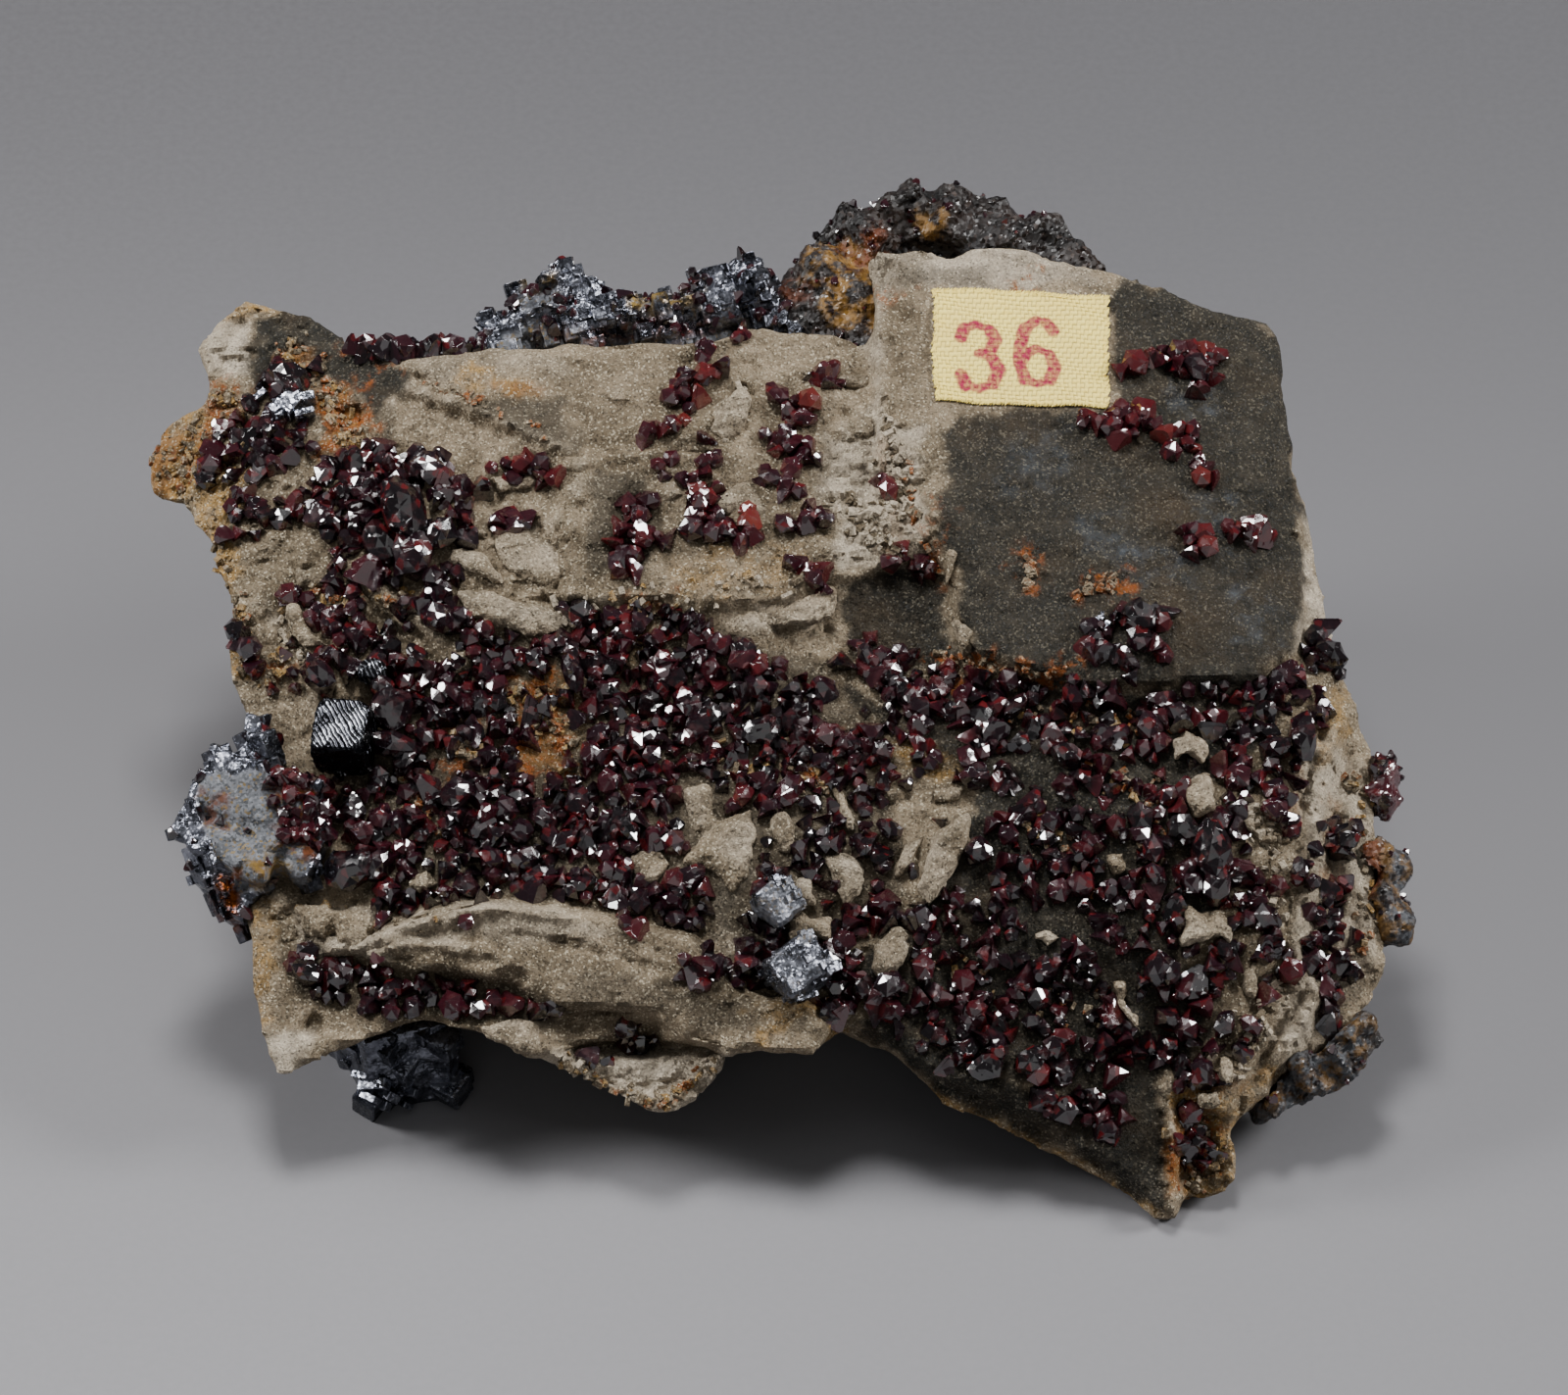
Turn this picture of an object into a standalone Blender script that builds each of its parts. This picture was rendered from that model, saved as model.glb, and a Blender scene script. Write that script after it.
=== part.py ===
"""Galena and sphalerite on a broken slab of drusy rock: a cabinet specimen 117 mm long.

The slab stands on a flat facet of its underside. Its broken top face slopes up to the back, and its
front rim hangs over the ground. Points of the top face are given in millimetres as (across, along):
across is +X, and along runs up the slope of the face, with (0, 0) in the middle. Heights over that
plane are measured along RAISE, so the rim, the ledges and the crystals keep one plan.
"""

import math
import random

import bmesh
import bpy
from mathutils import Matrix, Vector, noise
from mathutils.bvhtree import BVHTree
from mathutils.geometry import delaunay_2d_cdt

MM = 0.001
SEED = 41

# Driving dimensions, in millimetres and degrees. The face: its slope, the way its heights are
# measured, the height of its middle, and the thickness of the slab at the rim.
TOP_SLOPE = 18.0
RAISE_ANGLE = 46.0
FACE_HEIGHT = 29.0
RIM_THICKNESS = 2.4
BLEND_RADIUS = 4.6
ROUGHNESS = 0.55

# Distances between the points that the rock's rim, face, underside and ledges are drawn with.
RIM_SPACING = 3.0
TOP_SPACING = 3.9
UNDER_SPACING = 7.0
LEDGE_SPACING = 2.2
LEDGE_HALF_WIDTH = 0.3

# Sphalerite: distances between crystal corners and crystal heights. The sheet it is drawn as goes
# down into the rock by its depth, and sinks just under the rock's face at its border.
CRYSTAL_SPACING = 2.25
CRYSTAL_HEIGHT = 2.3
GROUP_SPACING = 1.9
CLUSTER_CRYSTAL = 3.0
SHEET_DEPTH = 1.7
BORDER_HEIGHT = -0.8

# The cloth label, the calm ground it lies on (across from, across to, along from), and the gap
# that keeps every piece clear of its neighbours.
LABEL_THICKNESS = 0.45
LABEL_SEAT = (13.0, 31.0, 29.0)
LABEL_CORNERS = [(14.0, 42.7), (30.3, 41.8), (30.1, 30.0), (14.0, 30.8)]
GAP = 0.3

ALONG = Vector((0, math.cos(math.radians(TOP_SLOPE)), math.sin(math.radians(TOP_SLOPE))))
RAISE = Vector((0, -math.cos(math.radians(RAISE_ANGLE)), math.sin(math.radians(RAISE_ANGLE))))
ACROSS = Vector((1, 0, 0))
MIDDLE = Vector((0, 0, FACE_HEIGHT))

# How a cut piece is cleaned: points merged within millimetres, and folds opened out in degrees.
CLEANINGS = [(0.03, 4.0), (0.02, 2.0), (0.01, 1.0), (0.05, 0.5), (0.002, 0.0), (0.0, 0.0)]

# The broken edge of the slab, clockwise from the ochre tip at its back left corner.
RIM = [
    (-50.9, 41.6), (-47.2, 40.1), (-44.2, 38.2), (-41.4, 36.4), (-38.5, 36.0), (-35.2, 35.2),
    (-30.5, 35.5), (-25.0, 35.9), (-20.0, 36.1), (-15.4, 36.3), (-9.9, 36.8), (-6.2, 37.2),
    (-2.9, 38.0), (0.9, 38.0), (3.1, 37.2), (5.7, 36.4), (8.0, 36.2), (8.4, 40.0), (8.6, 46.8),
    (10.5, 46.3), (13.4, 46.7), (15.7, 45.4), (17.1, 46.4), (19.0, 47.1), (21.9, 47.1),
    (25.6, 45.4), (30.0, 44.5), (34.8, 42.7), (40.0, 40.4), (43.0, 39.7), (45.6, 38.8),
    (46.2, 36.5), (46.6, 30.0), (46.3, 27.5), (48.3, 20.4), (49.3, 16.0), (50.6, 6.5),
    (51.5, 0.5), (53.1, -3.6), (54.5, -6.0), (54.6, -13.9), (54.0, -20.0), (54.6, -25.8),
    (55.2, -28.0), (54.0, -30.0), (52.6, -32.8), (50.0, -34.8), (48.1, -37.0), (45.9, -38.0),
    (44.1, -40.6), (42.2, -42.1), (40.7, -43.9), (41.3, -46.1), (41.4, -48.7), (40.0, -50.4),
    (37.8, -51.0), (36.4, -50.6), (35.5, -52.6), (34.3, -52.6), (30.7, -50.0), (28.1, -48.4),
    (25.2, -46.3), (22.2, -45.2), (20.0, -43.9), (17.9, -42.4), (14.9, -41.3), (13.1, -39.5),
    (9.4, -35.9), (7.1, -34.1), (5.2, -33.2), (4.0, -34.5), (2.7, -36.4), (-1.7, -35.3),
    (-4.6, -35.8), (-6.0, -38.4), (-8.2, -41.1), (-10.1, -42.1), (-12.3, -42.0), (-14.9, -40.2),
    (-17.3, -39.1), (-19.5, -37.6), (-22.0, -36.3), (-25.0, -35.4), (-28.1, -33.8),
    (-33.1, -32.7), (-38.3, -34.7), (-41.3, -36.0), (-45.0, -38.2), (-46.4, -38.0),
    (-47.7, -33.9), (-48.7, -28.7), (-48.6, -24.0), (-50.0, -18.0), (-49.0, -10.0),
    (-48.0, -5.0), (-50.5, 0.1), (-51.4, 2.7), (-50.8, 9.0), (-51.8, 12.3), (-53.7, 17.0),
    (-55.4, 18.2), (-55.4, 20.2), (-57.9, 20.2), (-59.6, 21.6), (-59.7, 24.9), (-58.3, 27.3),
    (-55.0, 29.7), (-54.0, 32.3), (-54.8, 36.4), (-53.4, 39.4),
]

# The lie of the top face before its ledges: across, along and height over the middle plane.
LIE = [
    (-51, 41, -4.5), (-53.5, 36, -4.5), (-45, 37, -3.6), (-48, 31, -3.4), (-42, 31, -1.8),
    (-57.5, 24, -8.5), (-52, 24, -4.6), (-47, 23, -2.2), (-53, 14, -5.4), (-50, 6, -4.4),
    (-46, 14, -1.6), (-36, 34, -1.4), (-36, 27, -0.6), (-28, 31, -0.2), (-20, 34, -0.6),
    (-10, 34, -0.2), (0, 36, -0.6), (-20, 27, 0.2), (-8, 26, 0.5), (4, 28, 0.0), (-27, 18, -0.5),
    (-36, 18, -1.2), (-14, 18, -0.8), (-3, 15, 0.4), (5, 17, 0.4), (-26, 10, -1.0), (-5, 9, -0.4),
    (-15, 5, -2.4), (-25, 2, -2.8), (-40, 6, -2.6), (-45, 2, -3.7), (-40, -4, -4.4),
    (-30, -5, -3.4), (-20, -5, -3.2), (-8, -3, -3.0), (2, 0, -2.6), (0, -10, -3.2),
    (-12, -12, -4.0), (-25, -12, -4.2), (-36, -12, -5.2), (-46, -8, -7.0), (-48, -16, -9.0),
    (-42, -19, -7.5), (-30, -17, -4.8), (-18, -18, -4.3), (-6, -18, -2.8), (-6, -26, -4.8),
    (-46, -24, -6.5), (-47, -31, -8.5), (-46, -37, -10.5), (-41, -28, -9.8), (-38, -33, -9.4),
    (-34, -30, -9.2), (-30, -30, -8.8), (-26, -32, -8.2), (-33, -24, -6.4), (-25, -24, -5.2),
    (-15, -25, -5.2), (-10, -28, -6.2), (-20, -29, -6.8), (-12, -33, -7.6), (-4, -33, -7.8),
    (1, -31, -7.4), (2, -35, -9.0), (-12, -39, -10.5), (-17, -37, -9.6), (-8, -39, -10.4),
    (10, 45, 0.0), (20, 46, 0.3), (15, 36, 0.3), (25, 36, 0.3), (28, 42, 0.1), (36, 40, -0.7),
    (44, 38, -1.5), (35, 30, 0.1), (45, 28, -1.2), (20, 25, 0.3), (30, 18, 0.2), (42, 15, -0.7),
    (47, 12, -1.5), (20, 10, 0.0), (30, 8, -0.2), (42, 6, -0.8), (49.6, 12, -7.5), (50.2, 7, -6.0),
    (8, 10, 0.0), (10, 4, -2.4), (14, 6, -1.8), (10, -4, -2.6), (18, -2, -1.3), (28, -3, -0.9),
    (38, -3, -0.9), (46, -3, -1.6), (8, -14, -3.6), (16, -12, -2.7), (26, -12, -2.1),
    (36, -12, -2.1), (44, -12, -2.5), (5, -24, -4.9), (12, -24, -4.6), (22, -22, -4.1),
    (32, -22, -3.7), (40, -22, -4.2), (4, -30, -5.9), (12, -33, -7.2), (20, -33, -7.6),
    (28, -32, -7.4), (36, -31, -6.8), (44, -31, -7.8), (15, -38.5, -9.2), (24, -42, -11.6),
    (30, -46, -13.7), (34.6, -51.5, -16.2), (30, -39, -10.6), (36, -38, -9.8), (41, -39, -10.8),
    (39, -46, -13.0), (38, -50, -14.4), (50, -2, -3.6), (53, -6, -6.0), (51, -12, -5.0),
    (53.5, -14, -7.5), (47, -18, -4.4), (51, -20, -6.4), (53.5, -24, -8.6), (47, -26, -6.6),
    (51, -29, -8.8), (53.5, -29, -10.4), (48, -34, -9.8), (43, -40, -12.0),
]

# Broken ledges: each plan is lifted (or dropped) as a whole, so its border is a small cliff.
LEDGES = {
    "upper_plate": (2.3, [
        (8.6, 52), (8.6, 36), (9.0, 29.5), (9.0, 23.5), (11.8, 22), (13.2, 18.5), (13.6, 15.5),
        (14.8, 13.2), (15.8, 9.5), (17.2, 4.4), (22, 2.8), (28, 1.0), (36, 1.5), (44, 1.8),
        (48, 5.5), (48.2, 21), (62, 25), (62, 52),
    ]),
    "plateau": (1.2, [
        (-36, 42), (-35.2, 33.6), (-32, 31.3), (-27, 29), (-24, 27), (-21.5, 24.5), (-20.5, 17),
        (-21, 10.6), (-11.5, 10.4), (-8.5, 9.2), (-1.4, 9.6), (5.7, 12.2), (11.2, 13.3),
        (13.8, 14.4), (13.8, 19), (9.3, 23), (8.6, 42),
    ]),
    "front_ridge": (2.2, [
        (-41.4, -25.2), (-38, -24.2), (-34, -22.4), (-30, -21.3), (-25, -20.9), (-20, -21.6),
        (-15.5, -22.2), (-12, -23.6), (-7.5, -24), (-6.8, -27), (-3, -30.5), (1.5, -30.2),
        (3.6, -32), (6, -38), (-4, -38), (-5, -35), (-9.8, -34.4), (-10.6, -32), (-16, -31.6),
        (-21, -31.3), (-25, -28.8), (-30, -27.9), (-35, -28), (-38.5, -26.4),
    ]),
    "crumbly_knob": (-4.0, [
        (-25, -36.2), (-20, -35.6), (-16, -35.0), (-10, -35.2), (-5.2, -35.4), (-4, -46), (-25, -46),
    ]),
    "right_step": (-1.1, [
        (50.5, 4), (49.4, -3), (47.4, -9.5), (47.9, -15), (46.1, -21.5), (45.6, -29), (43.5, -36),
        (40, -41), (50, -50), (64, -40), (64, 4),
    ]),
    "outer_step": (-1.6, [
        (52, -3.2), (49.9, -11.8), (49.6, -21.5), (48.6, -26), (49.0, -30), (47.2, -35.6),
        (43.6, -39.4), (50, -50), (64, -40), (64, -3.2),
    ]),
    "front_strip": (-2.6, [
        (4.7, -32.4), (7.1, -33.4), (9.7, -35.2), (12.3, -37.3), (14.2, -38.8), (17.9, -40.2),
        (20, -41.2), (23.7, -43.7), (26.1, -45.4), (29.6, -47.6), (32.2, -49.8), (34.2, -51.6),
        (30, -60), (0, -45),
    ]),
    "tip_lobe": (-2.0, [
        (35.2, -40.8), (36, -44.7), (35.6, -52), (45, -58), (47, -44), (41.5, -42.6), (38, -41.8),
    ]),
}

# Flat breaks of the underside: a point of each, and the way it faces.
GROUND_BREAK = ((0, 0, 0), (0, 0, -1))
UNDER_BREAKS = [
    ((-20, 33, 4), (-0.22, 0.94, -0.26)),
    ((24, 40, 7), (0.25, 0.93, -0.27)),
    ((4, 33, 2), (0.05, 0.72, -0.69)),
    ((-31, 12, 0), (-0.66, 0.12, -0.74)),
    ((-40, 10, 12), (-0.88, -0.10, -0.46)),
    ((27, 8, 0), (0.55, 0.12, -0.83)),
    ((46, 0, 18), (0.86, -0.06, -0.50)),
]
FRONT_BREAKS = [((5, -8, 0), (0.02, -0.52, -0.85)), ((5, -8, 0), (-0.35, -0.40, -0.85))]

# Where sphalerite grew as one crust, and the bare rock inside it.
CRUST_FIELD = [
    (-47, 11.4), (-41, 12), (-37, 9.6), (-33, 11.4), (-28, 10.4), (-25, 7.8), (-20, 9.8), (-10.5, 9.8),
    (-7, 7), (-1.5, 4), (3, 2.4), (6, 3.8), (9.5, 5.2), (12, 3), (17, 2.6), (22, 2.2), (27, 2.4),
    (31, 0.4), (36, 0.8), (42, 1.2), (47, 2), (50, 4), (50.6, -1), (48.8, -4.4), (46.6, -9.5),
    (46.8, -13), (43.4, -12.4), (41.8, -17), (45, -21), (44.8, -27), (44.6, -31), (42.8, -35),
    (39.6, -37.4), (38.6, -40.6), (36, -39.6), (33, -36.3), (29.4, -38.6), (31.6, -43),
    (28, -44.4), (24, -41), (20, -39), (14, -36.8), (9, -32.9), (5.6, -31.2), (3, -29.6),
    (-2.4, -29.6), (-6.4, -29), (-6.4, -23.4), (-12, -22.8), (-16, -21.4), (-24, -20.2),
    (-30, -20.4), (-34, -21.8), (-37, -23), (-39, -20.6), (-39.8, -14), (-42.4, -12), (-41, -8.6),
    (-36.2, -7.4), (-34.8, -1), (-35.6, 1), (-45, 0.6), (-49.6, 1), (-48, 5.5), (-44.6, 6),
]
BARE_PATCHES = [
    [(-9.5, -9), (-4, -8.5), (-2.4, -14), (-3, -20), (-3.4, -28), (-5.5, -28), (-5.5, -20), (-9.8, -17)],
    [(-25.5, 2), (-20, 2), (-18, -8), (-24, -9)],
    [(-32, -3), (-28.5, -3), (-28.5, -8), (-32, -8)],
    [(10, -3.5), (17, -3), (17, -7), (11, -7)],
    [(20.5, -21.5), (28.5, -21.5), (35, -22), (34, -25.5), (28, -28), (27, -24), (21, -25)],
    [(4, -16), (7.4, -16.4), (7.2, -21.4), (4.4, -21.6)],
    [(8, -24), (11.4, -23.4), (11.8, -27.4), (8.4, -28.6)],
    [(31, -31), (36, -30.5), (37, -34.5), (32.5, -35)],
]

# The wider groups of sphalerite that stand apart from the crust, by their plans.
GROUPS = {
    "sphalerite_group_left": [
        (-45.2, 20.6), (-43.6, 23.2), (-40.8, 25.4), (-37, 26.6), (-32.6, 25.2), (-29.4, 24),
        (-28, 20), (-29.6, 16.8), (-27.8, 14.8), (-29.8, 11.6), (-33.6, 10.6), (-37.2, 11),
        (-39.8, 13), (-42, 15), (-43.4, 17.6),
    ],
    "sphalerite_group_valley": [
        (-46, -26.6), (-42, -25.4), (-38, -26.8), (-34, -28.2), (-30, -28.2), (-26, -29.4),
        (-20.6, -31.4), (-21, -33.8), (-26, -33.8), (-30, -32.6), (-34, -32.4), (-38, -31.2),
        (-44, -30.2),
    ],
    "sphalerite_group_pit": [
        (-50.8, 20), (-54, 23.4), (-53.6, 27), (-50.8, 28.8), (-46.6, 29.4), (-43.8, 26.4),
        (-47.4, 23.8), (-49.4, 21.8),
    ],
}

# Small clusters on bare rock: the places of their crystals, each within reach of the last.
CLUSTERS = {
    "sphalerite_cluster_a": [(-9.4, 31.4), (-9.0, 33.0), (-7.4, 33.6), (-5.8, 33.6), (-8.0, 35.2)],
    "sphalerite_cluster_b": [(-0.6, 31.2), (0.6, 30.4), (2.2, 30.2), (3.8, 29.8)],
    "sphalerite_cluster_c": [
        (0.4, 26.0), (1.6, 24.8), (0.4, 23.2), (2.2, 22.8), (-1.2, 22.0), (0.0, 20.6),
    ],
    "sphalerite_cluster_d": [
        (-6.4, 25.2), (-7.4, 23.6), (-5.6, 23.4), (-9.4, 22.8), (-8.6, 21.2), (-6.8, 20.8),
        (-8.6, 19.4), (-7.4, 17.8), (-5.6, 17.4), (-6.6, 16.0), (-3.8, 17.6), (-2.2, 18.2),
    ],
    "sphalerite_cluster_e": [
        (-13.6, 20.0), (-14.6, 18.4), (-13.0, 17.2), (-11.4, 16.2), (-14.6, 16.4), (-14.2, 14.6),
        (-14.8, 12.8),
    ],
    "sphalerite_cluster_f": [(1.2, 17.2), (2.4, 18.6), (4.0, 19.2), (3.2, 17.6)],
    "sphalerite_cluster_g": [
        (33.0, 34.4), (34.8, 35.2), (36.4, 34.6), (38.2, 34.6), (39.8, 34.4), (39.0, 32.8), (38.6, 31.2),
    ],
    "sphalerite_cluster_h": [
        (29.2, 28.2), (30.6, 27.4), (32.0, 28.4), (33.6, 28.8), (34.4, 27.4), (35.4, 28.6),
    ],
    "sphalerite_cluster_i": [(37.4, 26.2), (38.4, 24.8), (39.0, 23.2)],
    "sphalerite_cluster_j": [(37.2, 16.0), (38.6, 16.2), (38.0, 14.6)],
    "sphalerite_cluster_k": [(42.4, 17.6), (43.8, 17.2), (45.0, 16.2)],
    "sphalerite_cluster_l": [
        (28.4, 7.2), (28.0, 5.4), (28.6, 3.6), (30.4, 4.6), (32.0, 5.8), (31.8, 7.6), (33.8, 7.4),
        (34.2, 5.4), (32.2, 3.6),
    ],
    "sphalerite_cluster_m": [(-26.0, 24.2), (-24.4, 24.0), (-22.8, 23.4)],
}

# Masses of cleaved galena and of broken sphalerite: the blocks of each, by middle (across, along,
# height) and edges, the way their tops face, and how far each block may turn from that.
PILES = {
    "galena_left": ([
        ((-49.4, -10.2, -6.0), (7.4, 6.0, 6.0)), ((-46.0, -12.4, -6.0), (7.4, 7.4, 6.0)),
        ((-51.6, -12.8, -7.6), (6.4, 6.4, 6.4)), ((-49.2, -15.6, -7.6), (8.4, 6.6, 6.6)),
        ((-45.0, -16.6, -7.6), (6.0, 4.8, 6.0)), ((-51.0, -18.2, -9.4), (5.4, 4.8, 5.6)),
        ((-49.6, -20.8, -10.0), (4.0, 4.4, 5.2)), ((-48.6, -3.6, -6.2), (2.4, 2.6, 3.2)),
        ((-48.6, -6.6, -6.2), (3.2, 4.4, 4.4)),
    ], (-0.2, -0.35, 0.9), 0.14),
    "galena_back_ridge": ([
        ((-26.6, 37.4, -4.4), (4.6, 3.6, 4.0)), ((-23.4, 39.0, -5.0), (5.4, 5.0, 6.0)),
        ((-20.8, 41.4, -5.8), (5.4, 5.4, 6.4)), ((-18.0, 38.6, -5.2), (6.0, 5.0, 6.0)),
        ((-13.6, 38.8, -5.4), (6.0, 5.0, 5.4)), ((-9.8, 38.8, -5.2), (5.6, 4.8, 5.6)),
        ((-6.6, 40.4, -5.4), (5.4, 5.4, 6.0)), ((-4.0, 41.6, -6.0), (5.0, 5.4, 6.4)),
        ((-1.4, 40.0, -5.6), (4.0, 5.4, 6.0)),
    ], (0, 0.2, 0.9), 0.5),
    "sphalerite_back_mass": ([
        ((4.6, 38.0, -5.2), (5.6, 3.2, 4.6)), ((4.4, 43.0, -6.0), (6.0, 6.6, 6.6)),
        ((7.4, 46.6, -7.0), (6.6, 6.6, 7.6)), ((11.6, 49.0, -7.4), (7.0, 6.6, 7.6)),
        ((16.0, 49.0, -7.4), (6.6, 6.6, 7.6)), ((20.4, 47.8, -7.2), (6.4, 5.6, 7.0)),
        ((24.4, 46.6, -7.0), (5.6, 5.4, 6.6)), ((28.0, 44.4, -6.6), (4.6, 3.8, 5.6)),
    ], (0, 0.1, 0.9), 0.6),
    "galena_pyrite_crust_right": ([
        ((52.0, -34.6, -13.6), (3.6, 3.6, 4.4)), ((50.2, -37.0, -14.6), (4.2, 4.2, 5.0)),
        ((47.8, -38.4, -15.0), (4.4, 3.8, 5.0)), ((45.0, -40.6, -15.6), (4.0, 3.0, 4.4)),
    ], (0.5, -0.3, 0.7), 0.3),
}

# Smaller pieces: the lumps of each knob by middle and radius, the galena chips by middle and edges,
# the large galena crystal by middle and edge, and the blocks of the galena foot in world axes.
RIGHT_KNOBS = {
    "sphalerite_knob_right": [((55.0, -8.2, -9.6), 2.2), ((55.0, -10.4, -9.8), 2.2)],
    "pyrite_galena_knob_right": [
        ((54.2, -16.8, -10.4), 2.4), ((56.0, -17.8, -11.4), 2.0), ((54.6, -20.6, -11.4), 2.2),
        ((56.0, -23.2, -12.4), 2.2),
    ],
}
GALENA_CHIPS = {
    "galena_chip_back": ((-0.5, -20.6, -1.8), (3.6, 3.6, 3.6)),
    "galena_chip_front": ((1.4, -27.5, -3.6), (5.4, 4.4, 4.2)),
}
GALENA_CRYSTAL = ((-40.2, -2.9, -1.6), 5.4)
GALENA_FOOT = [
    ((-35.6, -19.5, 5.0), (9.0, 10.0, 10.0)), ((-38.4, -18.0, 7.0), (5.0, 9.0, 9.0)),
    ((-33.0, -20.0, 4.4), (5.4, 8.0, 8.8)), ((-35.4, -23.0, 2.6), (4.0, 3.4, 5.2)),
]

# The row of crystals behind the plateau: its two ends, how many there are, and their size.
BACK_EDGE_ROW = [(-40.0, 35.4), (-30.0, 35.2), 9, 2.9]


def face_point(across, along, height=0.0):
    """The place of a point of the top face, in metres."""
    return (MIDDLE + ACROSS * across + ALONG * along + RAISE * height) * MM


def inside(plan, across, along):
    """Whether a plan holds a point."""
    held = False
    for (x1, s1), (x2, s2) in zip(plan, plan[1:] + plan[:1]):
        if (s1 > along) != (s2 > along):
            if across < x1 + (along - s1) * (x2 - x1) / (s2 - s1):
                held = not held
    return held


def distance_to(plan, across, along):
    """How far a point is from the border of a plan."""
    point = Vector((across, along))
    nearest = math.inf
    for start, end in zip(plan, plan[1:] + plan[:1]):
        first = Vector(start)
        run = Vector(end) - first
        part = max(0.0, min(1.0, (point - first).dot(run) / run.length_squared))
        nearest = min(nearest, (point - first - run * part).length)
    return nearest


def along_border(plan, spacing):
    """A plan's border with a point every spacing or less, its own corners among them."""
    points = []
    for start, end in zip(plan, plan[1:] + plan[:1]):
        first = Vector(start)
        run = Vector(end) - first
        steps = max(1, math.ceil(run.length / spacing))
        points += [first + run * step / steps for step in range(steps)]
    return points


def spread_over(plan, spacing, margin, rng):
    """Points on an uneven triangular grid over a plan, no nearer its border than the margin."""
    lowest_x = min(x for x, _ in plan)
    lowest_s = min(s for _, s in plan)
    columns = math.ceil((max(x for x, _ in plan) - lowest_x) / spacing) + 1
    rows = math.ceil((max(s for _, s in plan) - lowest_s) / (spacing * 0.87)) + 1
    points = []
    for row in range(rows):
        for column in range(columns):
            x = lowest_x + spacing * (column + 0.5 * (row % 2) + rng.uniform(-0.28, 0.28))
            s = lowest_s + spacing * (0.87 * row + rng.uniform(-0.28, 0.28))
            if inside(plan, x, s) and distance_to(plan, x, s) > margin:
                points.append(Vector((x, s)))
    return points


def ledge_points():
    """Pairs of points on either side of each ledge's border, which make it a cliff."""
    points = []
    for _, plan in LEDGES.values():
        for start, end in zip(plan, plan[1:] + plan[:1]):
            run = Vector(end) - Vector(start)
            side = Vector((-run.y, run.x)).normalized() * LEDGE_HALF_WIDTH
            steps = max(1, round(run.length / LEDGE_SPACING))
            for step in range(steps):
                middle = Vector(start) + run * (step + 0.5) / steps
                points += [middle + side, middle - side]
    kept = []
    for point in points:
        clear = all((point - other).length > 0.5 for other in kept)
        if clear and inside(RIM, *point) and distance_to(RIM, *point) > 0.7:
            kept.append(point)
    return kept


def top_height(across, along):
    """Height of the top face over its middle plane, with ledges and roughness."""
    total = 0.0
    weights = 0.0
    for x, s, height in LIE:
        weight = math.exp(-((across - x) ** 2 + (along - s) ** 2) / (2 * BLEND_RADIUS ** 2))
        total += weight * height
        weights += weight
    height = total / weights
    for lift, plan in LEDGES.values():
        if inside(plan, across, along):
            height += lift
    roughness = noise.noise(Vector((across / 5.0, along / 5.0, 1.7)))
    calm = 0.25 if LABEL_SEAT[0] < across < LABEL_SEAT[1] and along > LABEL_SEAT[2] else 1.0
    return height + ROUGHNESS * calm * roughness


def break_height(rock_break, across, along):
    """Height of a flat break of the underside, over the middle plane of the top face."""
    point, facing = Vector(rock_break[0]), Vector(rock_break[1])
    start = MIDDLE + ACROSS * across + ALONG * along
    return facing.dot(point - start) / facing.dot(RAISE)


def under_height(across, along):
    """Height of the underside: the nearest of its breaks, never closer to the top than the rim."""
    breaks = [break_height(rock_break, across, along) for rock_break in UNDER_BREAKS]
    breaks.append(min(break_height(rock_break, across, along) for rock_break in FRONT_BREAKS))
    lumps = 1.6 * noise.noise(Vector((across / 9.0, along / 9.0, 6.1)))
    near = [(0, 0), (2.5, 0), (-2.5, 0), (0, 2.5), (0, -2.5)]
    top = min(top_height(across + x, along + s) for x, s in near)
    ground = break_height(GROUND_BREAK, across, along)
    return max(ground, min(max(breaks) + lumps, top - RIM_THICKNESS))


def rim_height(across, along):
    """Height of the underside right at the rim."""
    ground = break_height(GROUND_BREAK, across, along)
    return max(ground, top_height(across, along) - RIM_THICKNESS)


def add_sheet(bm, border, points, height, border_height, turned):
    """Adds one side of the slab as a triangulated sheet and returns its border vertices in order."""
    plan = border + points
    edges = [(i, (i + 1) % len(border)) for i in range(len(border))]
    flat, _, faces, sources, _, _ = delaunay_2d_cdt(plan, edges, [], 1, 0.0001)
    rim_vertices = [None] * len(border)
    vertices = []
    for point, source in zip(flat, sources):
        on_border = bool(source) and source[0] < len(border)
        level = border_height(*point) if on_border else height(*point)
        vertex = bm.verts.new(face_point(point.x, point.y, level))
        vertices.append(vertex)
        if on_border:
            rim_vertices[source[0]] = vertex
    for face in faces:
        corners = [vertices[i] for i in face]
        bm.faces.new(corners[::-1] if turned else corners)
    return rim_vertices


def finish_object(bm, name, collection, material):
    """Makes a named object of a bmesh, with its faces turned outwards."""
    bmesh.ops.recalc_face_normals(bm, faces=bm.faces)
    mesh = bpy.data.meshes.new(name)
    bm.to_mesh(mesh)
    bm.free()
    obj = bpy.data.objects.new(name, mesh)
    collection.objects.link(obj)
    if material:
        mesh.materials.append(material)
    return obj


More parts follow.
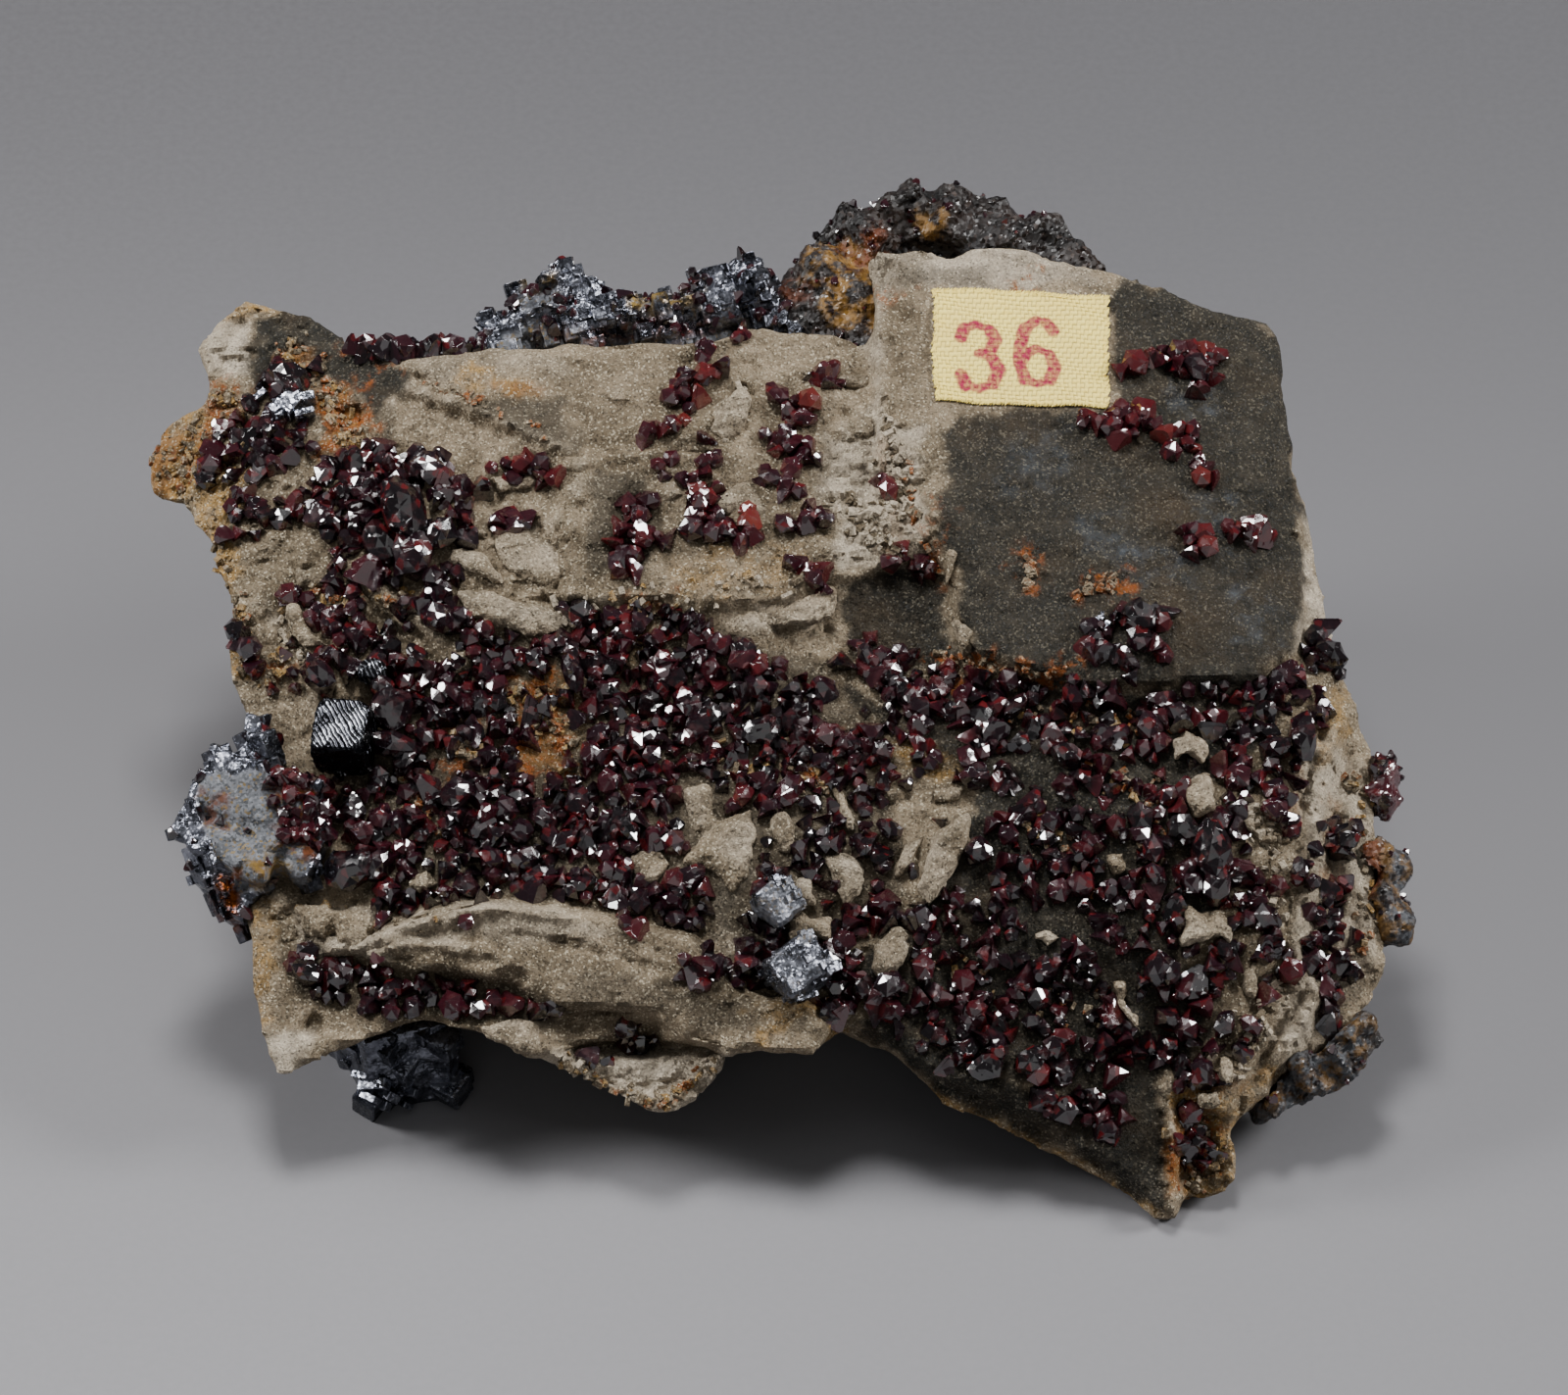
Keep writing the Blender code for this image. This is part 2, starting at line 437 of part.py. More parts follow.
def make_material(name, colour, roughness, metallic=0.0):
    """A Principled material of one colour."""
    material = bpy.data.materials.new(name)
    material.use_nodes = True
    shader = material.node_tree.nodes["Principled BSDF"]
    shader.inputs["Base Color"].default_value = (*colour, 1.0)
    shader.inputs["Roughness"].default_value = roughness
    shader.inputs["Metallic"].default_value = metallic
    material.diffuse_color = (*colour, 1.0)
    return material


def make_rock(collection, material, rng):
    """The slab of host rock: a ledged top face and a broken underside that share one rim."""
    bm = bmesh.new()
    border = along_border(RIM, RIM_SPACING)
    ledges = ledge_points()
    spread = spread_over(RIM, TOP_SPACING, 1.3, rng)
    spread = [p for p in spread if all((p - ledge).length > 1.1 for ledge in ledges)]
    under = spread_over(RIM, UNDER_SPACING, 2.0, rng)
    top_rim = add_sheet(bm, border, ledges + spread, top_height, top_height, False)
    under_rim = add_sheet(bm, border, under, under_height, rim_height, True)
    for i, vertex in enumerate(top_rim):
        j = (i + 1) % len(top_rim)
        bm.faces.new((vertex, top_rim[j], under_rim[j], under_rim[i]))
    return finish_object(bm, "matrix_rock", collection, material)


def swollen_copy(piece, collection):
    """A piece grown all over by a little more than the gap: the cutter that keeps others clear."""
    bm = bmesh.new()
    bm.from_mesh(piece.data)
    bmesh.ops.triangulate(bm, faces=bm.faces)
    bm.normal_update()
    for vertex, move in [(v, v.normal * GAP * 1.15 * MM) for v in bm.verts]:
        vertex.co += move
    cutter = finish_object(bm, piece.name + "_cutter", collection, None)
    cutter.hide_render = True
    cutter.display_type = "WIRE"
    return cutter


def ground_at(tree, across, along):
    """The point of the rock's top face at a place of its plan, and the way it faces there."""
    start = face_point(across, along, 40)
    point, facing, _, _ = tree.ray_cast(start, -RAISE)
    return point, facing


def lean(axis, amount, rng):
    """An axis turned a little, at random."""
    push = Vector([rng.uniform(-1, 1) for _ in range(3)])
    return (axis + push * amount).normalized()


def placed(point, axis, spin):
    """The matrix that stands a shape on a point, along an axis, turned by a spin."""
    turn = axis.to_track_quat("Z", "Y").to_matrix().to_4x4()
    return Matrix.Translation(point) @ turn @ Matrix.Rotation(spin, 4, "Z")


def add_crystal(bm, point, axis, size, rng):
    """One sphalerite crystal: a three-sided pyramid with its top cut off, sunk in what it grew on."""
    depth = size * 1.1 * MM
    place = placed(point, axis, rng.uniform(0, math.tau)) @ Matrix.Translation((0, 0, depth * 0.3))
    bmesh.ops.create_cone(
        bm, cap_ends=True, segments=3, radius1=size * 0.62 * MM,
        radius2=size * rng.uniform(0.14, 0.3) * MM, depth=depth, matrix=place,
    )


def add_block(bm, point, axis, sizes, spin):
    """One cleaved galena block, its edges in millimetres."""
    scale = Matrix.Diagonal((*[edge * MM for edge in sizes], 1.0))
    bmesh.ops.create_cube(bm, size=1.0, matrix=placed(point, axis, spin) @ scale)


def add_lump(bm, point, radius, rng):
    """One rounded, uneven lump."""
    stretch = Matrix.Diagonal((rng.uniform(0.9, 1.2), rng.uniform(0.9, 1.2), 1.0, 1.0))
    place = placed(point, lean(Vector((0, 0, 1)), 0.5, rng), rng.uniform(0, math.tau))
    bmesh.ops.create_icosphere(bm, subdivisions=1, radius=radius * 1.1 * MM, matrix=place @ stretch)


def boolean(obj, other, operation):
    """Applies one exact Boolean to an object."""
    modifier = obj.modifiers.new(operation, "BOOLEAN")
    modifier.operation = operation
    modifier.solver = "EXACT"
    modifier.use_self = True
    modifier.object = other
    graph = bpy.context.evaluated_depsgraph_get()
    result = bpy.data.meshes.new_from_object(obj.evaluated_get(graph))
    obj.modifiers.remove(modifier)
    old = obj.data
    obj.data = result
    bpy.data.meshes.remove(old)


def linked_groups(bm):
    """The faces of a mesh, as one list for each body."""
    groups = []
    seen = set()
    for face in bm.faces:
        if face in seen:
            continue
        group = []
        wave = [face]
        seen.add(face)
        while wave:
            current = wave.pop()
            group.append(current)
            for edge in current.edges:
                for neighbour in edge.link_faces:
                    if neighbour not in seen:
                        seen.add(neighbour)
                        wave.append(neighbour)
        groups.append(group)
    return groups


def cleaned(mesh, merge, fold):
    """A mesh's largest body, with near points merged and nearly flat folds opened out."""
    bm = bmesh.new()
    bm.from_mesh(mesh)
    groups = sorted(linked_groups(bm), key=lambda group: sum(f.calc_area() for f in group))
    loose = [face for group in groups[:-1] for face in group]
    bmesh.ops.delete(bm, geom=loose, context="FACES")
    if merge:
        bmesh.ops.remove_doubles(bm, verts=bm.verts, dist=merge * MM)
        bmesh.ops.dissolve_degenerate(bm, edges=bm.edges, dist=merge * MM)
    if fold:
        bmesh.ops.dissolve_limit(
            bm, angle_limit=math.radians(fold), verts=bm.verts, edges=bm.edges, delimit=set()
        )
    bmesh.ops.triangulate(bm, faces=bm.faces)
    return bm


def is_closed(bm):
    """Whether every edge joins two faces, and all the faces are one body."""
    joined = all(len(edge.link_faces) == 2 for edge in bm.edges)
    return joined and len(linked_groups(bm)) == 1


def keep_largest(obj):
    """Leaves only an object's largest body, as lightly cleaned as keeps it closed."""
    for merge, fold in CLEANINGS:
        bm = cleaned(obj.data, merge, fold)
        closed = is_closed(bm)
        if closed:
            bm.to_mesh(obj.data)
        bm.free()
        if closed:
            return
    raise RuntimeError(obj.name + " isn't one closed body")


def grow_clear(bm, name, collection, material, cutters):
    """Joins all that a bmesh holds into one body and cuts it back from what it grew on."""
    obj = finish_object(bm, name, collection, material)
    for cutter in cutters:
        boolean(obj, cutter, "DIFFERENCE")
    keep_largest(obj)
    return obj


def crystal_points(plan, spacing, rng):
    """An uneven triangular grid over a plan, and whether each point is the tip of a crystal."""
    lowest_x = min(x for x, _ in plan)
    lowest_s = min(s for _, s in plan)
    columns = math.ceil((max(x for x, _ in plan) - lowest_x) / spacing) + 1
    rows = math.ceil((max(s for _, s in plan) - lowest_s) / (spacing * 0.87)) + 1
    points = []
    tips = []
    for row in range(rows):
        for column in range(columns):
            is_tip = (column - row // 2 - row) % 3 == 0
            play = 0.32 if is_tip else 0.2
            x = lowest_x + spacing * (column + 0.5 * (row % 2) + rng.uniform(-play, play))
            s = lowest_s + spacing * (0.87 * row + rng.uniform(-play, play))
            if inside(plan, x, s) and distance_to(plan, x, s) > spacing * 0.45:
                points.append(Vector((x, s)))
                tips.append(is_tip)
    return points, tips


def crystal_sheet(tree, plan, spacing, height, rng, bare=()):
    """A closed sheet of pointed crystals over a plan, to be cut back from the rock below it."""
    border = along_border(plan, spacing * 1.4)
    points, tips = crystal_points(plan, spacing, rng)
    edges = [(i, (i + 1) % len(border)) for i in range(len(border))]
    flat, flat_edges, faces, sources, _, _ = delaunay_2d_cdt(border + points, edges, [], 1, 0.0001)
    bm = bmesh.new()
    upper = []
    lower = []
    for point, source in zip(flat, sources):
        rise = BORDER_HEIGHT
        index = source[0] - len(border) if source else -1
        if index >= 0 and not any(inside(patch, *point) for patch in bare):
            rise = height * rng.uniform(0.7, 1.35) if tips[index] else rng.uniform(0.75, 1.15)
        ground, _ = ground_at(tree, *point)
        ground = ground or face_point(*point, top_height(*point))
        upper.append(bm.verts.new(ground + RAISE * rise * MM))
        lower.append(bm.verts.new(ground - RAISE * SHEET_DEPTH * MM))
    for face in faces:
        bm.faces.new([upper[i] for i in face])
        bm.faces.new([lower[i] for i in reversed(face)])
    for first, second in flat_edges:
        edge = bm.edges.get((upper[first], upper[second]))
        if edge and len(edge.link_faces) == 1:
            bm.faces.new((upper[first], upper[second], lower[second], lower[first]))
    return bm


def make_crust(tree, parts, material, cutters, rng):
    """The sphalerite crust that fills the lower part of the face, round the galena chips in it."""
    bm = crystal_sheet(tree, CRUST_FIELD, CRYSTAL_SPACING, CRYSTAL_HEIGHT, rng, BARE_PATCHES)
    grow_clear(bm, "sphalerite_crust", parts, material, cutters)


def make_groups(tree, parts, material, cutters, rng):
    """The wider groups of crystals, each a small crust of its own."""
    for name, plan in GROUPS.items():
        bm = crystal_sheet(tree, plan, GROUP_SPACING, CRYSTAL_HEIGHT * 1.15, rng)
        grow_clear(bm, name, parts, material, cutters)


def make_clusters(tree, parts, material, cutters, rng):
    """The small clusters, each of a few crystals that overlap."""
    for name, places in CLUSTERS.items():
        bm = bmesh.new()
        for place in places:
            point, facing = ground_at(tree, *place)
            size = CLUSTER_CRYSTAL * rng.uniform(0.9, 1.15)
            add_crystal(bm, point, lean(facing, 0.35, rng), size, rng)
        grow_clear(bm, name, parts, material, cutters)


def make_back_row(parts, material, cutters, rng):
    """The row of small crystals that stands up behind the back edge of the plateau."""
    bm = bmesh.new()
    start, end, count, size = BACK_EDGE_ROW
    for i in range(count):
        place = Vector(start).lerp(Vector(end), i / (count - 1))
        axis = lean(Vector((0, 0.25, 1)), 0.25, rng)
        add_crystal(bm, face_point(*place, -2.2), axis, size * rng.uniform(0.85, 1.2), rng)
    grow_clear(bm, "sphalerite_back_row", parts, material, cutters)


def make_label(tree, collection, material):
    """The number label: a patch of cloth that lies on the upper plate and follows it."""
    bm = bmesh.new()
    bmesh.ops.create_grid(bm, x_segments=6, y_segments=5, size=0.5)
    back_left, back_right, front_right, front_left = [Vector(c) for c in LABEL_CORNERS]
    for vertex in bm.verts:
        u = vertex.co.x + 0.5
        v = vertex.co.y + 0.5
        front = front_left.lerp(front_right, u)
        back = back_left.lerp(back_right, u)
        place = front.lerp(back, v)
        reach = [(0, 0), (1.3, 0), (-1.3, 0), (0, 1.2), (0, -1.2)]
        heights = []
        for x, s in reach:
            point, _ = ground_at(tree, place.x + x, place.y + s)
            if point:
                heights.append((point - face_point(place.x + x, place.y + s)).dot(RAISE) / MM)
        vertex.co = face_point(place.x, place.y, max(heights) + GAP * 1.2)
    label = finish_object(bm, "number_label", collection, material)
    bm = bmesh.new()
    bm.from_mesh(label.data)
    extruded = bmesh.ops.extrude_face_region(bm, geom=bm.faces[:])
    top = [item for item in extruded["geom"] if isinstance(item, bmesh.types.BMVert)]
    bmesh.ops.translate(bm, verts=top, vec=RAISE * LABEL_THICKNESS * MM)
    bmesh.ops.recalc_face_normals(bm, faces=bm.faces)
    bm.to_mesh(label.data)
    bm.free()
    return label


def block_pile(blocks, tilt, play, rng):
    """A mass of blocks on the top face, whose faces run nearly the same way."""
    bm = bmesh.new()
    for (across, along, height), sizes in blocks:
        axis = lean(Vector(tilt), play, rng)
        add_block(bm, face_point(across, along, height), axis, sizes, rng.uniform(-play, play))
    return bm


def make_pile(name, parts, material, cutters, rng):
    """One of the masses of cleaved or broken blocks."""
    blocks, tilt, play = PILES[name]
    return grow_clear(block_pile(blocks, tilt, play, rng), name, parts, material, cutters)


def make_galena_foot(parts, material, cutters, rng):
    """The cleaved galena under the front left corner, which stands on the ground."""
    bm = bmesh.new()
    for middle, sizes in GALENA_FOOT:
        add_block(bm, Vector(middle) * MM, Vector((0, 0, 1)), sizes, rng.uniform(-0.35, 0.35))
    grow_clear(bm, "galena_foot", parts, material, cutters)


def make_galena_crystal(parts, material, cutters):
    """The one large galena crystal: a cube with its corners cut off."""
    middle, size = GALENA_CRYSTAL
    bm = bmesh.new()
    add_block(bm, face_point(*middle), Vector((0.35, -0.55, 0.75)).normalized(), (size,) * 3, 0.5)
    bmesh.ops.bevel(
        bm, geom=bm.verts[:], offset=size * 0.3 * MM, affect="VERTICES", segments=1, profile=0.5,
    )
    grow_clear(bm, "galena_crystal", parts, material, cutters)


def make_chips(parts, material, cutters, rng):
    """The galena chips that lie in the crust."""
    chips = []
    for name, (middle, sizes) in GALENA_CHIPS.items():
        bm = bmesh.new()
        add_block(bm, face_point(*middle), lean(Vector((0.1, -0.4, 0.9)), 0.1, rng), sizes, 0.4)
        chips.append(grow_clear(bm, name, parts, material, cutters))
    return chips


def make_knobs(parts, materials, cutters, rng):
    """The rounded knobs that stand out from the right edge."""
    for (name, lumps), material in zip(RIGHT_KNOBS.items(), materials):
        bm = bmesh.new()
        for middle, radius in lumps:
            add_lump(bm, face_point(*middle), radius, rng)
        grow_clear(bm, name, parts, material, cutters)


def build():
    """Clears the scene and makes every piece of the specimen."""
    for obj in list(bpy.data.objects):
        bpy.data.objects.remove(obj, do_unlink=True)
    parts = bpy.data.collections.new("galena_and_sphalerite_specimen")
    tools = bpy.data.collections.new("cutters")
    for collection in (parts, tools):
        bpy.context.scene.collection.children.link(collection)
    rng = random.Random(SEED)
    rock_finish = make_material("drusy rock", (0.30, 0.25, 0.20), 0.85)
    sphalerite = make_material("sphalerite", (0.07, 0.012, 0.012), 0.12)
    galena = make_material("galena", (0.42, 0.43, 0.45), 0.35, 1.0)
    pyrite = make_material("pyrite and galena", (0.40, 0.34, 0.22), 0.4, 0.8)
    cloth = make_material("label cloth", (0.80, 0.72, 0.50), 0.9)

    rock = make_rock(parts, rock_finish, rng)
    rock_cutter = swollen_copy(rock, tools)
    tree = BVHTree.FromObject(rock, bpy.context.evaluated_depsgraph_get())
    in_crust = make_chips(parts, galena, [rock_cutter], rng)
    in_crust.append(make_pile("galena_left", parts, galena, [rock_cutter], rng))
    crust_cutters = [rock_cutter] + [swollen_copy(piece, tools) for piece in in_crust]
    make_crust(tree, parts, sphalerite, crust_cutters, rng)
    make_groups(tree, parts, sphalerite, [rock_cutter], rng)
    make_clusters(tree, parts, sphalerite, [rock_cutter], rng)
    make_galena_foot(parts, galena, [rock_cutter], rng)
    make_galena_crystal(parts, galena, [rock_cutter])
    ridge = make_pile("galena_back_ridge", parts, galena, [rock_cutter], rng)
    ridge_cutter = swollen_copy(ridge, tools)
    make_pile("sphalerite_back_mass", parts, sphalerite, [rock_cutter, ridge_cutter], rng)
    make_pile("galena_pyrite_crust_right", parts, pyrite, [rock_cutter], rng)
    make_back_row(parts, sphalerite, [rock_cutter, ridge_cutter], rng)
    make_knobs(parts, (sphalerite, pyrite), [rock_cutter], rng)
    make_label(tree, parts, cloth)


build()
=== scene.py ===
"""Galena and sphalerite specimen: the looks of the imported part, built round its solids.

Sizes are in millimetres, and the stage's are in metres. A place on the top face is (across, along):
across is +X and along runs up the face's slope. Heights stand over the face's middle plane. A plan is
the outline of an area of the face, as a list of places, and a line is a path over it.
"""

import math
import random

import bmesh
import bpy
import numpy as np
from mathutils import Matrix, Vector, noise
from mathutils.bvhtree import BVHTree
from mathutils.kdtree import KDTree


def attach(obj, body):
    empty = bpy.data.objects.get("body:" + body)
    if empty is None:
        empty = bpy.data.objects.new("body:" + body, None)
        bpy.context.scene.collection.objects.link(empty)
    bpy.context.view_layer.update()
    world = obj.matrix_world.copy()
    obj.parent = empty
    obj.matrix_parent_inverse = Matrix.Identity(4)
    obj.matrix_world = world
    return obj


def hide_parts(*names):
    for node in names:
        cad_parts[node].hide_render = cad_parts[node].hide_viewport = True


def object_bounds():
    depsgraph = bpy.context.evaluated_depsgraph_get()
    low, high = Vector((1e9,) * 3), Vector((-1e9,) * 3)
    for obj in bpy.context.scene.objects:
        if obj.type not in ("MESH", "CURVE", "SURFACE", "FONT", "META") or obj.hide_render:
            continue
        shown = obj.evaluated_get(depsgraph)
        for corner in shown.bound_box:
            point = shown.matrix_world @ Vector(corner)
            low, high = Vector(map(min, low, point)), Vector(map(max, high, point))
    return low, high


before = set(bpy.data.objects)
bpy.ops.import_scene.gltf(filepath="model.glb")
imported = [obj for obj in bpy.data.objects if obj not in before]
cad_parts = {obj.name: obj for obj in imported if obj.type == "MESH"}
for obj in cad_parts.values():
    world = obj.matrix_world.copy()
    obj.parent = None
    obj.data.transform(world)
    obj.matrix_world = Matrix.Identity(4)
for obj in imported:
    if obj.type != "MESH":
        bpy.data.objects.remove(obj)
cad_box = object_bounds()

# Camera. It stands straight in front and looks down on the slab at 46 degrees through a long lens.
# The slab's top face slopes up to the back by 18 degrees, so it is seen a little from the front.
MM = 0.001
CAMERA_RAISE = math.radians(46)
CAMERA_DISTANCE = 0.8
FACE_SLOPE = math.radians(18)
MIDDLE = Vector((0, 0, 29))
ACROSS = Vector((1, 0, 0))
ALONG = Vector((0, math.cos(FACE_SLOPE), math.sin(FACE_SLOPE)))
RAISE = Vector((0, -math.cos(CAMERA_RAISE), math.sin(CAMERA_RAISE)))


def face_point(across, along, height=0.0):
    """The place of a point of the top face, in metres."""
    return (MIDDLE + ACROSS * across + ALONG * along + RAISE * height) * MM


bpy.ops.object.camera_add(
    location=MIDDLE * MM + RAISE * CAMERA_DISTANCE, rotation=(math.radians(90) - CAMERA_RAISE, 0, 0),
)
camera = bpy.context.object
camera.data.lens = 200
camera.data.sensor_width = 36
bpy.context.scene.camera = camera

# Studio. The specimen lies on a sheet of pale matt paper, with painted shade that darkens it to the back
# and the right, where the light falls off. A soft box overhead and a lamp at each side make the crystals
# flash, and a large ceiling panel and a weak panel in front fill the shadows.
FLOOR_SIZE = 3.0
FLOOR_FRONT, FLOOR_BACK_SHADE = "#878689", "#474649"
FLOOR_FIBRES, FLOOR_RIGHT_SHADE = "#6c6c70", "#444447"
AIR_COLOUR, AIR_STRENGTH = "#c8c9cc", 0.11
LIT_POINT = Vector((0, 0, 0.03))
LIGHTS = [
    ("soft_box", (-0.05, 0.24, 0.64), 0.17, 4.4),
    ("left_light", (-0.62, 0.12, 0.38), 0.18, 5.3),
    ("right_light", (0.62, 0.10, 0.36), 0.18, 6.2),
    ("ceiling", (0.05, 0.16, 1.30), 1.10, 2.0),
    ("front_fill", (0.0, -0.75, 0.40), 0.80, 0.85),
]
SHARE, FIRST, SECOND, MIXED = 0, 6, 7, 2  # a colour mix's inputs, and its output


def linear(code):
    """The linear colour of an sRGB hex code."""
    values = [int(code[i:i + 2], 16) / 255 for i in (1, 3, 5)]
    return tuple(v / 12.92 if v <= 0.04045 else ((v + 0.055) / 1.055) ** 2.4 for v in values) + (1.0,)


def new_material(name):
    """A material with an empty node tree."""
    material = bpy.data.materials.new(name)
    material.use_nodes = True
    material.node_tree.nodes.clear()
    return material


def add_node(material, kind, inputs=None, **settings):
    """Adds a shader node with its settings; inputs are values, or links as (node, output)."""
    node = material.node_tree.nodes.new("ShaderNode" + kind)
    for name, value in settings.items():
        setattr(node, name, value)
    for key, value in (inputs or {}).items():
        if isinstance(value, tuple) and isinstance(value[0], bpy.types.Node):
            material.node_tree.links.new(value[0].outputs[value[1]], node.inputs[key])
        else:
            node.inputs[key].default_value = value
    return node


# Matt paper scatters the light evenly and has no sheen. Its fibres are a faint fleck of 0.8 mm.
floor_paper = new_material("matt paper")
coords = add_node(floor_paper, "TexCoord")
floor_place = add_node(floor_paper, "SeparateXYZ", {"Vector": (coords, "Object")})
# Painted shade: the paper's colour darkens to the back and to the right, for the light's fall-off.
back_shade = add_node(floor_paper, "MapRange", {"Value": (floor_place, "Y"), "From Min": -0.10,
                                              "From Max": 0.15}, interpolation_type="SMOOTHSTEP")
fibres = add_node(floor_paper, "TexNoise", {"Vector": (coords, "Object"), "Scale": 1300.0, "Detail": 3.0})
fleck = add_node(floor_paper, "MapRange", {"Value": (fibres, 0), "From Min": 0.3, "From Max": 0.7,
                                           "To Min": 0.0, "To Max": 0.12})
right_shade = add_node(floor_paper, "MapRange", {"Value": (floor_place, "X"), "From Min": -0.04,
                                               "From Max": 0.10, "To Max": 0.34})
paper = add_node(floor_paper, "Mix", {SHARE: (back_shade, 0), FIRST: linear(FLOOR_FRONT),
                                      SECOND: linear(FLOOR_BACK_SHADE)}, data_type="RGBA")
for share, code in [(fleck, FLOOR_FIBRES), (right_shade, FLOOR_RIGHT_SHADE)]:
    paper = add_node(floor_paper, "Mix", {SHARE: (share, 0), FIRST: (paper, MIXED), SECOND: linear(code)},
                     data_type="RGBA")
shader = add_node(floor_paper, "BsdfPrincipled", {"Base Color": (paper, MIXED), "Roughness": 0.75})
add_node(floor_paper, "OutputMaterial", {"Surface": (shader, "BSDF")})

bpy.ops.object.select_all(action="DESELECT")
bpy.ops.mesh.primitive_plane_add(size=FLOOR_SIZE)
floor = bpy.context.object
floor.name = "floor"
floor.data.materials.append(floor_paper)

world = bpy.data.worlds.new("studio")
world.use_nodes = True
world.node_tree.nodes["Background"].inputs["Color"].default_value = linear(AIR_COLOUR)
world.node_tree.nodes["Background"].inputs["Strength"].default_value = AIR_STRENGTH
bpy.context.scene.world = world

for name, place, size, power in LIGHTS:
    aim = (LIT_POINT - Vector(place)).to_track_quat("-Z", "Y").to_euler()
    bpy.ops.object.light_add(type="AREA", location=place, rotation=aim)
    lamp = bpy.context.object
    lamp.name = name
    lamp.data.size = size
    lamp.data.energy = power

# Host rock: a slab of grey-brown dolomite, broken along ledges and coated in places with a dark
# druse of fine quartz and pyrite. Its solid's form is drawn finer here: a voxel skin, halved again
# where it faces up, then pushed in and out by its ridges, cracks, pits and grain.
ROCK_VOXEL = 0.82
# Ridges and cracks are a height or depth, a half width and a line. Pits are a depth, a radius and a
# place. The grains are a size and a height, and the plans are where the rock is ragged or stained.
RIDGES = [
    (0.7, 0.7, [(-35, 32.3), (-27, 29), (-23, 27.3), (-20, 25.6)]),
    (0.5, 0.7, [(-21, 23.8), (-14, 25.3), (-11, 25.5), (-8.8, 27.3), (-7, 28.8)]),
    (0.9, 1.0, [(-40, 13.5), (-35, 9), (-30, 4)]),
    (0.5, 0.6, [(-21, 10.5), (-16, 10.3), (-11, 10.7)]),
    (0.7, 0.6, [(8.6, 46), (8.8, 36), (8.9, 29), (9.2, 23.5)]),
    (0.8, 0.8, [(34.8, -38), (35.7, -44.5), (35.2, -51.5)]),
    (0.9, 1.2, [(-41, -25), (-33, -22.3), (-27, -21), (-20, -21.5)]),
    (0.6, 0.7, [(-36, -25), (-31, -25.2), (-26.5, -25.8)]),
    (0.5, 0.6, [(-38, 27), (-36, 31), (-35.2, 34)]),
    (1.1, 0.9, [(50.8, -3), (48.6, -9), (48.9, -15), (47, -22), (46.6, -29)]),
    (1.0, 0.8, [(53, -7), (51.5, -13), (52, -20), (50.5, -27)]),
    (0.9, 0.8, [(48.5, -30), (47, -34), (44, -38)]),
]
CRACKS = [
    (0.9, 0.5, [(-21, -31.5), (-10.3, -31.9), (-9.5, -34.5)]),
    (0.7, 0.5, [(4.6, 32.6), (8.4, 31)]),
    (0.3, 0.4, [(-33, 30.3), (-27, 27.7), (-23, 26)]),
    (0.7, 0.6, [(-24, -24), (-14, -26.5), (-6, -29.5)]),
    (0.6, 0.5, [(49.6, -4), (47.5, -10), (47.9, -16), (46, -23)]),
    (0.6, 0.5, [(52.4, -9), (50.4, -15), (50.6, -21), (49, -28)]),
    (0.6, 0.5, [(-45, 22), (-46, 16), (-44, 9)]),
    (0.8, 0.7, [(1.2, -31.5), (-1.6, -35)]),
]
PITS = [
    (1.6, 2.4, (-13.2, -34.8)), (0.8, 2.6, (-14.6, 19.5)), (0.8, 2.6, (-14.4, 15.0)),
    (1.2, 1.6, (-43.0, -33.0)), (0.9, 1.8, (-40.5, 29.5)), (0.9, 2.0, (-52.5, 24.5)),
]
RAGGED = [
    [(3, 31), (8.4, 31), (13, 29), (13.4, 14), (4.6, 13), (2, 17), (5, 22)],
    [(-56, 30), (-44, 30), (-44, 20), (-46, 4), (-52, 0), (-56, 12), (-60, 20)],
    [(-54, 41), (-50, 42), (-45, 40), (-45, 36), (-51, 33), (-55, 34)],
    [(46, -2), (50, -6), (50.6, -14), (50, -29), (46, -40), (42, -36), (46, -24), (47, -12)],
    [(-28, 19), (-19, 18), (-19, 10), (-31, 6), (-32, 12)],
    [(-22, -36), (-4, -34), (-4, -44), (-22, -44)],
    [(-47, -20), (-36, -20.5), (-36, -25.5), (-47, -26)],
    [(34, -40), (43, -40), (43, -52), (34, -52)],
]
GRAINS = [(6.0, 0.42), (2.4, 0.20), (1.1, 0.10)]
LABEL_GROUND = [(13, 43.5), (31, 43), (31, 29), (13, 29)]
LIP, LIP_HEIGHT = [(-23, -36), (-5, -35.6), (-5, -46), (-23, -46)], 3.5
